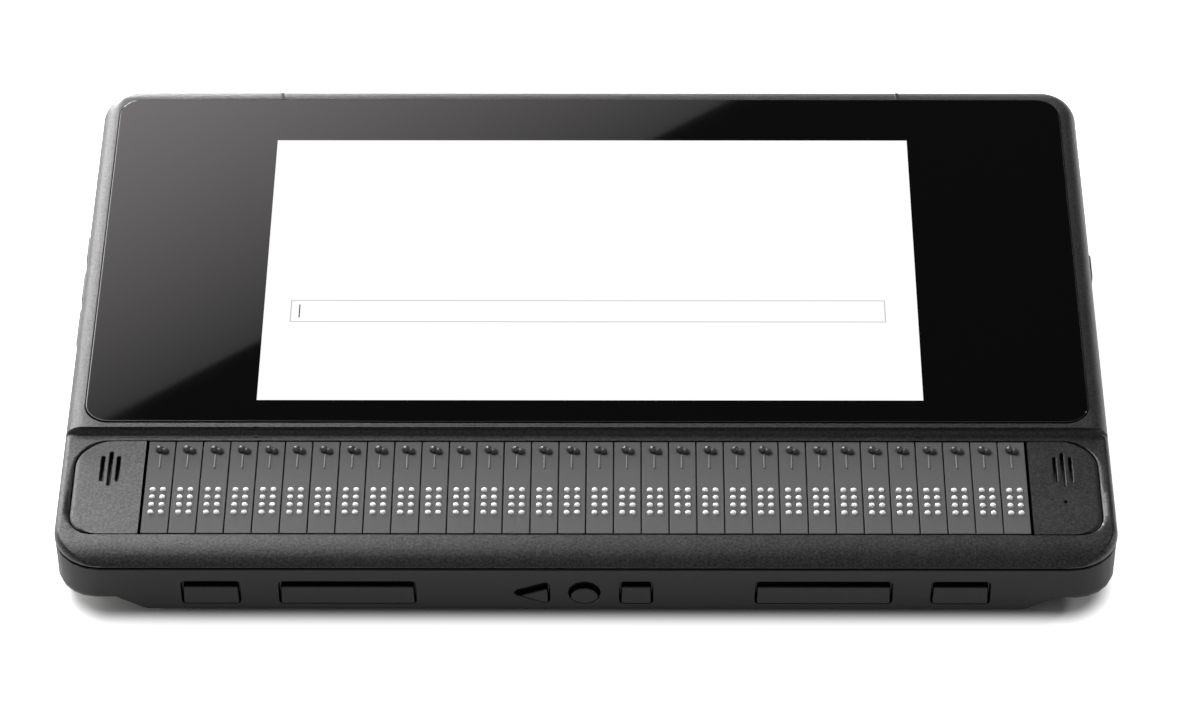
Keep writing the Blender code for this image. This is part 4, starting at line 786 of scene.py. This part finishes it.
class NOTETAKER_OT_braille_cells(bpy.types.Operator):
    """Make the row of cell caps, the white dots in them and the guide ridges on them"""
    bl_idname = "notetaker.braille_cells"
    bl_label = "Braille cells and dots"

    def execute(self, context):
        braille = context.scene.notetaker_braille
        cap_finish = cell_plastic("fine-blasted polycarbonate", braille)
        dot_finish = white_nylon(braille)
        # Painted highlight: the ridges are a paler grey than the caps, so that each shows as a light line.
        ridge_finish = plain_finish("pale grey ink", braille.ridge_colour, 0.5)
        for name, first in (("left", 0), ("right", CELLS_PER_BLOCK)):
            places = [(cell_x(braille, index), 0, 0) for index in range(first, first + CELLS_PER_BLOCK)]
            caps = gathered("caps", copies(self.cap(braille), places) + [self.bodies(braille, first)])
            dress(caps, f"braille_caps_{name}", cap_finish, nodes=[f"braille_cells_{name}"])
            dots = gathered("dots", copies(self.dots(braille), places))
            dress(dots, f"braille_dots_{name}", dot_finish, sharp=60, weighted=False)
            ridges = gathered("ridges", copies(self.ridge(braille), places))
            dress(ridges, f"guide_ridges_{name}", ridge_finish, sharp=60, weighted=False)
        return {'FINISHED'}

    def dot_places(self, braille):
        middle = FIELD_FRONT_Y + braille.rows_from_front
        return [(column * braille.dot_columns, middle + (row - (DOTS_PER_COLUMN - 1) / 2) * braille.dot_rows)
                for column in (-0.5, 0.5) for row in range(DOTS_PER_COLUMN)]

    def cap(self, braille):
        """A cap for the cell in the middle of the case, with its pocket and pin holes."""
        depth = FIELD_REAR_Y - FIELD_FRONT_Y - CLEARANCE
        outline = rectangle(braille.pitch - braille.groove, depth, CAP_CORNER,
                            (0, (FIELD_FRONT_Y + FIELD_REAR_Y) / 2), 2)
        plate = block("cap", outline, DECK_Z - braille.cap, DECK_Z, braille.cap_edge)
        first = routing_centre(1)
        centre = (first.x - cell_x(braille, 0), first.y)
        pocket = routing_outline(braille, braille.pocket_gap, centre)
        cutters = [block("pocket", pocket, DECK_Z - braille.pocket_depth, DECK_Z + MM)]
        for place in self.dot_places(braille):
            hole = circle(braille.dot + braille.pin_gap, place, 16)
            cutters.append(block("pin_hole", hole, DECK_Z - braille.pin_depth, DECK_Z + MM))
        return carved(plate, cutters)

    def ridge(self, braille):
        """The thin ridge that leads a fingertip from the dots to the routing key."""
        middle = FIELD_FRONT_Y + braille.ridge_from_front + braille.ridge_length / 2
        outline = rectangle(braille.ridge_width, braille.ridge_length, braille.ridge_width * 0.45,
                            (-braille.ridge_offset, middle), 3)
        return block("ridge", outline, DECK_Z - SUNK, DECK_Z + braille.ridge_height, braille.ridge_edge)

    def bodies(self, braille, first):
        """The actuator bodies of one block, under and behind its caps."""
        left = cell_x(braille, first) - braille.pitch / 2 + braille.groove / 2
        right = cell_x(braille, first + CELLS_PER_BLOCK - 1) + braille.pitch / 2 - braille.groove / 2
        front, rear = FIELD_FRONT_Y + CLEARANCE / 2, FIELD_REAR_Y - CLEARANCE
        top = DECK_Z - braille.cap + BODY_OVERLAP
        profile = [(front, CELLS_LOW.z), (CELLS_HIGH.y, CELLS_LOW.z), (CELLS_HIGH.y, BODY_TOP),
                   (rear, BODY_TOP), (rear, top), (front, top)]
        return block("bodies", [Vector(point) for point in profile], left, right, 0.0, FACING_RIGHT)

    def dots(self, braille):
        """The eight domed pin tips of one cell."""
        radius = braille.dot / 2 - DOT_CLEARANCE
        profile = [(radius, -braille.pin_depth)]
        for step in range(6):
            angle = math.pi / 2 * step / 6
            profile.append((radius * math.cos(angle), braille.dot_height * math.sin(angle)))
        profile.append((0.0, braille.dot_height))
        return gathered("dots", [turned(profile, (*place, DECK_Z), 16) for place in self.dot_places(braille)])


class NOTETAKER_OT_routing_keys(bpy.types.Operator):
    """Make the ball and button of the routing key over each cell"""
    bl_idname = "notetaker.routing_keys"
    bl_label = "Routing keys"

    def execute(self, context):
        braille = context.scene.notetaker_braille
        glossy = moulded_plastic("ball ABS", braille.ball_colour, 0.45, 1.5, 0.004, 0.05, 9.0, 1.0)
        satin = moulded_plastic("button ABS", braille.button_colour, 0.55, 0.4, 0.006, 0.05)
        plate = block("plate", routing_outline(braille, 0.0), -braille.plate, 0.0)
        left, right = lobes(braille)
        ball = self.ball(braille.ball, left + Vector((braille.ball_shift, 0)), braille.ball_rise)
        button = self.ball(braille.button, right - Vector((braille.button_shift, 0)), braille.button_rise)
        kinds = {"plate": (plate, cell_plastic("routing key plate", braille)), "ball": (ball, glossy),
                 "button": (button, satin)}
        for number in range(1, CELL_COUNT + 1):
            centre = routing_centre(number)
            node = f"routing_button_{number:02d}"
            for kind, (part, finish) in kinds.items():
                made = bpy.data.objects.new(part.name, part.data)
                made.location = (centre.x, centre.y, DECK_Z)
                context.scene.collection.objects.link(made)
                dress(made, f"routing_{kind}_{number:02d}", finish, f"{node}_body",
                      [node] if kind == "plate" else ())
        for part, _ in kinds.values():
            bpy.data.objects.remove(part)
        return {'FINISHED'}

    def ball(self, radius, place, rise):
        arc = [math.pi / 2 * (step - 5) / 6 for step in range(1, 11)]
        profile = [(radius * math.cos(angle), radius * math.sin(angle)) for angle in arc]
        return turned(profile + [(0.0, radius)], (*place, rise))


class NOTETAKER_OT_end_panels(bpy.types.Operator):
    """Make the panels at both ends of the field, with their sound slots"""
    bl_idname = "notetaker.end_panels"
    bl_label = "End panels"

    def execute(self, context):
        panel = context.scene.notetaker_panels
        finish = spark_eroded_abs(context.scene.notetaker_case)
        for name, side in (("left", -1), ("right", 1)):
            low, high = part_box(f"{name}_end_panel")
            inner, outer = PANEL_LOW.x + panel.inner_gap, PANEL_HIGH.x
            corners = [(inner, FIELD_FRONT_Y, PANEL_INNER_CORNER), (outer, FIELD_FRONT_Y, panel.front_corner),
                       (outer, FIELD_REAR_Y, panel.rear_corner), (inner, FIELD_REAR_Y, PANEL_INNER_CORNER)]
            outline = rounded_outline(corners, 14)
            if side < 0:
                outline = [Vector((-point.x, point.y)) for point in reversed(outline)]
            bevelled = stretched(outline, -panel.bevel, side * inner)
            rings = [at_level(outline, low.z), at_level(outline, high.z - panel.bevel_depth),
                     at_level(bevelled, high.z)]
            plate = loft("end_panel", rings)
            x = (low.x + high.x) / 2
            cutters = []
            for index in (-1, 0, 1):
                slot = rectangle(panel.slot_width, panel.slot_length if index else panel.middle_slot_length,
                                 panel.slot_width * 0.48,
                                 (x + index * panel.slot_pitch, FIELD_FRONT_Y + panel.slots_from_front))
                cutters.append(flared_hole(slot, low.z - MM, high.z, panel.slot_flare))
            if side > 0:
                braille = context.scene.notetaker_braille
                hole = circle(panel.microphone, (x, FIELD_FRONT_Y + braille.rows_from_front), 20)
                cutters.append(block("microphone", hole, low.z - MM, high.z + MM))
            carved(plate, cutters)
            dress(plate, f"{name}_sound_panel", finish, nodes=[f"{name}_end_panel"])
        return {'FINISHED'}


# Glass and screen

class NOTETAKER_OT_glass_and_screen(bpy.types.Operator):
    """Make the cover glass and the lit screen that shows through it"""
    bl_idname = "notetaker.glass_and_screen"
    bl_label = "Glass and screen"

    def execute(self, context):
        case, screen = context.scene.notetaker_case, context.scene.notetaker_screen
        top = GLASS_HIGH.z
        pane = block("pane", glass_outline(case), GLASS_LOW.z, top, screen.glass_edge, steps=4)
        front = GLASS_LOW.y + screen.from_glass
        centre = (screen.offset, front + screen.depth / 2)
        lit_outline = rectangle(screen.width, screen.depth, 0.0, centre)
        carved(pane, [block("window", lit_outline, top - LIT_DEPTH, top + MM)])
        dress(pane, "cover_pane", printed_glass(screen), nodes=["cover_glass"])
        entry_low, entry_high = [top - depth for depth in ENTRY_DEPTHS]
        lit = block("lit", lit_outline, top - LIT_DEPTH, entry_low)
        dress(lit, "lit_screen", lit_surface("lit screen", "#ffffff"), weighted=False)
        middle = (ENTRY_SHIFT, front + screen.field_from_front)
        field = rectangle(screen.field_width, screen.field_depth, 0.0, middle)
        outline = block("field", field, entry_low, entry_high)
        carved(outline, [block("inside", grown(field, -screen.line), top - MM, top + MM)])
        dress(outline, "entry_field", lit_surface("entry field outline", screen.line_colour),
              weighted=False)
        caret = rectangle(screen.line, screen.caret_height, 0.0,
                          (middle[0] - screen.field_width / 2 + screen.caret_inset, middle[1]))
        dress(block("caret", caret, entry_low, entry_high), "entry_caret",
              lit_surface("caret", screen.caret_colour), weighted=False)
        return {'FINISHED'}


# Keys and buttons

def front_key_outline(keys, name, low, high):
    """Outline of a front key's shaft, from the box of the node with its flange."""
    top = high.z - keys.flange
    z = top - keys.height / 2
    if name == "circle_key":
        return circle(keys.circle, ((low.x + high.x) / 2, z), 48)
    if name == "triangle_key":
        tip = keys.triangle_tip
        back = tip + keys.triangle_width
        return rounded_outline([(tip, z, keys.corner), (back, z - keys.height / 2, keys.corner),
                                (back, z + keys.height / 2, keys.corner)], 6)
    width = high.x - low.x - 2 * keys.flange
    return rectangle(width, keys.height, keys.corner, ((low.x + high.x) / 2, z))


class NOTETAKER_OT_front_keys(bpy.types.Operator):
    """Make the seven keys in the front edge"""
    bl_idname = "notetaker.front_keys"
    bl_label = "Front keys"

    def execute(self, context):
        keys = context.scene.notetaker_keys
        finish = key_plastic("satin key ABS", keys)
        for name in FRONT_KEYS:
            low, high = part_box(name)
            outline = front_key_outline(keys, name, low, high)
            drop = keys.circle_drop if name == "circle_key" else keys.drop
            shaft = block(name, outline, -high.y, -low.y - keys.ledge, 0.0, FACING_FRONT)
            face = self.face(keys, outline, drop, -high.y + CLEARANCE, -low.y)
            flange = [Vector((point.x, max(point.y, low.z))) for point in grown(outline, keys.flange)]
            rear = block("flange", flange, -high.y, -high.y + keys.flange_depth, 0.0, FACING_FRONT)
            carved(shaft, (), [face, rear])
            dress(shaft, f"{name}_cap", finish, f"{name}_body", [name])
        return {'FINISHED'}

    def face(self, keys, outline, drop, rear, front):
        """The pressing face: the key's outline again, lower and smaller, cropped under the opening's rim."""
        low, high = min(point.y for point in outline), max(point.y for point in outline)
        middle = (min(point.x for point in outline) + max(point.x for point in outline)) / 2
        lowered = []
        for point in grown(outline, -keys.side_gap):
            spread = keys.side_gap * (high - point.y) / (high - low)
            lowered.append(point + Vector((math.copysign(spread, point.x - middle), keys.side_gap - drop)))
        face = block("face", lowered, rear, front, keys.edge, FACING_FRONT, 4)
        within = block("within", grown(outline, keys.foot), rear - MM, front + MM, 0.0, FACING_FRONT)
        crop = face.modifiers.new("crop", 'BOOLEAN')
        crop.object, crop.operation = within, 'INTERSECT'
        carved(face)
        bpy.data.objects.remove(within)
        return face


class NOTETAKER_OT_side_buttons(bpy.types.Operator):
    """Make the buttons in both sides of the case"""
    bl_idname = "notetaker.side_buttons"
    bl_label = "Side buttons"

    def execute(self, context):
        keys = context.scene.notetaker_keys
        finish = key_plastic("satin button ABS", keys)
        for name in SIDE_BUTTONS:
            low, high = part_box(name)
            side = 1 if high.x > 0 else -1
            near, far = sorted((side * low.x, side * high.x))
            size, middle = high - low, (low + high) / 2
            outline = rectangle(size.y - 2 * keys.button_flange, size.z - 2 * keys.button_flange,
                                keys.button_corner, (middle.y, middle.z), 8)
            cap = block(name, outline, near, far, keys.button_edge, FACING_RIGHT, 4)
            rear = block("flange", grown(outline, keys.button_flange), near, near + MM, 0.0, FACING_RIGHT)
            carved(cap, (), [rear])
            if side < 0:
                cap.data.transform(Matrix.Scale(-1, 4, (1, 0, 0)))
                cap.data.flip_normals()
            dress(cap, f"{name}_cap", finish, f"{name}_body", [name])
        return {'FINISHED'}


class NOTETAKER_OT_inner_parts(bpy.types.Operator):
    """Give the boards, battery, speakers, door and feet their finishes"""
    bl_idname = "notetaker.inner_parts"
    bl_label = "Inner parts, door and feet"

    def execute(self, context):
        case = context.scene.notetaker_case
        low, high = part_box("main_board")
        main_board = circuit_board_finish("board and sockets", low.z + BOARD_THICKNESS, high.y - SOCKET_REACH)
        board = circuit_board_finish("circuit board", high.z, high.y)
        steel = plain_finish("drawn steel", "#6e6f71", 0.38, 1.0)
        rubber = plain_finish("moulded rubber", "#1b1b1b", 0.8, 0.0, 0.5, 0.02)
        finishes = {
            "battery_door": satin_abs(case), "battery_pack": plain_finish("shrink film", "#151516", 0.35),
            "display_module": plain_finish("display frame", "#2a2b2d", 0.4, 0.6), "main_board": main_board,
            "front_key_board": board, "braille_backplane": board, "left_speaker": steel,
            "right_speaker": steel, "front_foot_strip": rubber, "rear_foot_strip": rubber,
        }
        for name, finish in finishes.items():
            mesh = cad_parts[name].data
            mesh.materials.clear()
            mesh.materials.append(finish)
        return {'FINISHED'}


# Studio

class NOTETAKER_OT_studio(bpy.types.Operator):
    """Set up the pale floor, the lamps and the camera"""
    bl_idname = "notetaker.studio"
    bl_label = "Studio"

    def execute(self, context):
        stage = context.scene.notetaker_stage
        self.floor(stage)
        self.softbox(stage)
        self.flag(stage)
        for name, (place, size) in LAMPS.items():
            self.lamp(f"{name}_lamp", place, size, getattr(stage, name))
        self.sky(context, stage)
        self.camera(context, stage)
        context.scene.view_settings.view_transform = 'Standard'
        return {'FINISHED'}

    def floor(self, stage):
        """White paper that gives off its own white where a ray sees it, but not close round the case. There
        the glow fades out, so the lamps' contact shadow shows; it also darkens the floor round the case where
        no shadow falls, which is painted shade.
        """
        bm = bmesh.new()
        bmesh.ops.create_grid(bm, x_segments=1, y_segments=1, size=FLOOR_REACH)
        floor = add_piece("floor", bm)
        paper, tree, shader, place = start_finish("white paper")
        connect(tree, shader, {"Base Color": (0.93, 0.92, 0.91, 1.0), "Roughness": 0.9,
                               "Specular IOR Level": 0.1})
        # Painted shade: the glow fades out towards the case's outline, however the lamps fall.
        away = remap(tree, self.from_case(tree, place), -stage.shadow_under, stage.shadow_reach, 0.0,
                     stage.floor_glow, interpolation_type='SMOOTHSTEP')
        strength = arithmetic(tree, 'MULTIPLY', away, self.seen(tree, 0.0))
        glow = add_node(tree, 'ShaderNodeEmission', {"Strength": strength})
        both = add_node(tree, 'ShaderNodeAddShader', {0: shader.outputs["BSDF"], 1: glow.outputs["Emission"]})
        connect(tree, tree.nodes["Material Output"], {"Surface": both.outputs["Shader"]})
        floor.data.materials.append(paper)

    def from_case(self, tree, place):
        """Distance on the floor from the case's outline, which is a rectangle with round corners."""
        corner = (LOWER_HIGH.x - SHADOW_INSET - SHADOW_ROUND, LOWER_HIGH.y - SHADOW_ROUND, 0)
        origin = (0, 0, 0)
        for operation, other in (('ABSOLUTE', origin), ('SUBTRACT', corner), ('MAXIMUM', origin)):
            made = add_node(tree, 'ShaderNodeVectorMath', {0: place, 1: other}, operation=operation)
            place = made.outputs[0]
        reach = add_node(tree, 'ShaderNodeVectorMath', {0: place}, operation='LENGTH').outputs["Value"]
        return arithmetic(tree, 'SUBTRACT', reach, SHADOW_ROUND)

    def seen(self, tree, lighting):
        """Full white where a camera, glossy or transmitted ray arrives, and less where it lights things."""
        path = add_node(tree, 'ShaderNodeLightPath').outputs
        either = arithmetic(tree, 'ADD', path["Is Camera Ray"], path["Is Glossy Ray"])
        any_of = arithmetic(tree, 'ADD', either, path["Is Transmission Ray"], use_clamp=True)
        return remap(tree, any_of, 0.0, 1.0, lighting, 1.0)

    def cloth(self, piece, name, axis, spans, tint=(1.0, 1.0, 1.0, 1.0)):
        """Cloth that only gives off light, of a strength that changes along one of its own axes."""
        cloth, tree, shader, place = start_finish(name)
        tree.nodes.remove(shader)
        along = add_node(tree, 'ShaderNodeSeparateXYZ', {"Vector": place}).outputs[axis]
        glow = add_node(tree, 'ShaderNodeEmission', {"Color": tint, "Strength": remap(tree, along, *spans)})
        connect(tree, tree.nodes["Material Output"], {"Surface": glow.outputs["Emission"]})
        piece.data.materials.append(cloth)
        piece.visible_camera = piece.visible_shadow = False

    def softbox(self, stage):
        """A big softbox behind on the left, whose straight edge shows in the glass; it fades to that edge."""
        bm = bmesh.new()
        left, right = SOFTBOX_ENDS
        bm.faces.new([bm.verts.new((x, 0, z))
                      for x, z in ((left, 0), (right, 0), (right, -SOFTBOX_WIDTH), (left, -SOFTBOX_WIDTH))])
        box = add_piece("softbox", bm)
        box.matrix_world = Matrix.Translation(SOFTBOX_PLACE) @ Matrix.Rotation(SOFTBOX_TURN, 4, 'Y')
        self.cloth(box, "softbox cloth", "Z", (0.0, -SOFTBOX_FADE, stage.softbox_edge, stage.softbox),
                   (1.0, 0.955, 0.965, 1.0))

    def flag(self, stage):
        """A dome that only reflections see: it paints dark reflections behind and on the right, and a grey
        glowing reflection in front.

        It is open near the floor, except on the right."""
        bm = bmesh.new()
        bmesh.ops.create_uvsphere(bm, u_segments=32, v_segments=16, radius=DOME_RADIUS)
        centres = [(face, face.calc_center_median()) for face in bm.faces]
        low = [face for face, centre in centres if centre.z < DOME_OPEN_BELOW and centre.x < DOME_SHUT_FROM]
        bmesh.ops.delete(bm, geom=low, context='FACES')
        dome = add_piece("cloth_dome", bm)
        dome.visible_diffuse = False
        self.cloth(dome, "dark cloth", "Y", (*DOME_FADE, 0.0, stage.front_reflection_glow))

    def lamp(self, name, place, size, power):
        """A square lamp that faces the case."""
        lamp = bpy.data.lights.new(name, 'AREA')
        lamp.shape = 'SQUARE'
        lamp.size = size
        lamp.energy = power
        made = bpy.data.objects.new(name, lamp)
        made.location = place
        made.rotation_euler = (-Vector(place)).to_track_quat('-Z', 'Y').to_euler()
        bpy.context.scene.collection.objects.link(made)

    def sky(self, context, stage):
        world = bpy.data.worlds.new("white studio")
        world.use_nodes = True
        tree = world.node_tree
        connect(tree, tree.nodes["Background"], {"Color": (1.0, 1.0, 1.0, 1.0),
                                                 "Strength": self.seen(tree, stage.sky)})
        context.scene.world = world

    def camera(self, context, stage):
        lens = bpy.data.cameras.new("camera")
        lens.lens = stage.lens
        lens.sensor_width = 36.0
        lens.sensor_fit = 'HORIZONTAL'
        lens.clip_start = 0.05
        camera = bpy.data.objects.new("camera", lens)
        turn = (Matrix.Rotation(stage.yaw, 4, 'Z') @ Matrix.Rotation(math.pi / 2 - stage.pitch, 4, 'X')
                @ Matrix.Rotation(stage.roll, 4, 'Z'))
        camera.matrix_world = Matrix.Translation(stage.camera_place) @ turn
        context.scene.collection.objects.link(camera)
        context.scene.camera = camera


OPERATORS = (NOTETAKER_OT_studio, NOTETAKER_OT_upper_shell, NOTETAKER_OT_lower_shell,
             NOTETAKER_OT_glass_and_screen, NOTETAKER_OT_end_panels, NOTETAKER_OT_braille_cells,
             NOTETAKER_OT_routing_keys, NOTETAKER_OT_front_keys, NOTETAKER_OT_side_buttons,
             NOTETAKER_OT_inner_parts)
SETTINGS = {"notetaker_case": CaseSettings, "notetaker_panels": PanelSettings,
            "notetaker_braille": BrailleSettings, "notetaker_keys": KeySettings,
            "notetaker_screen": ScreenSettings, "notetaker_stage": StageSettings}


class NOTETAKER_PT_looks(bpy.types.Panel):
    bl_idname = "NOTETAKER_PT_looks"
    bl_label = "Braille notetaker"
    bl_space_type = 'VIEW_3D'
    bl_region_type = 'UI'
    bl_category = "Notetaker"

    def draw(self, context):
        for operator in OPERATORS:
            self.layout.operator(operator.bl_idname)
        for name, group in SETTINGS.items():
            box = self.layout.box()
            box.label(text=name.split("_")[1].capitalize())
            for setting in group.__annotations__:
                box.prop(getattr(context.scene, name), setting)


def register():
    for name, group in SETTINGS.items():
        bpy.utils.register_class(group)
        setattr(bpy.types.Scene, name, PointerProperty(type=group))
    for operator in OPERATORS:
        bpy.utils.register_class(operator)
    bpy.utils.register_class(NOTETAKER_PT_looks)


def unregister():
    bpy.utils.unregister_class(NOTETAKER_PT_looks)
    for operator in reversed(OPERATORS):
        bpy.utils.unregister_class(operator)
    for name, group in SETTINGS.items():
        delattr(bpy.types.Scene, name)
        bpy.utils.unregister_class(group)


def main():
    register()
    bpy.ops.notetaker.studio()
    bpy.ops.notetaker.upper_shell()
    bpy.ops.notetaker.lower_shell()
    bpy.ops.notetaker.glass_and_screen()
    bpy.ops.notetaker.end_panels()
    bpy.ops.notetaker.braille_cells()
    bpy.ops.notetaker.routing_keys()
    bpy.ops.notetaker.front_keys()
    bpy.ops.notetaker.side_buttons()
    bpy.ops.notetaker.inner_parts()


if __name__ == "__main__":
    main()
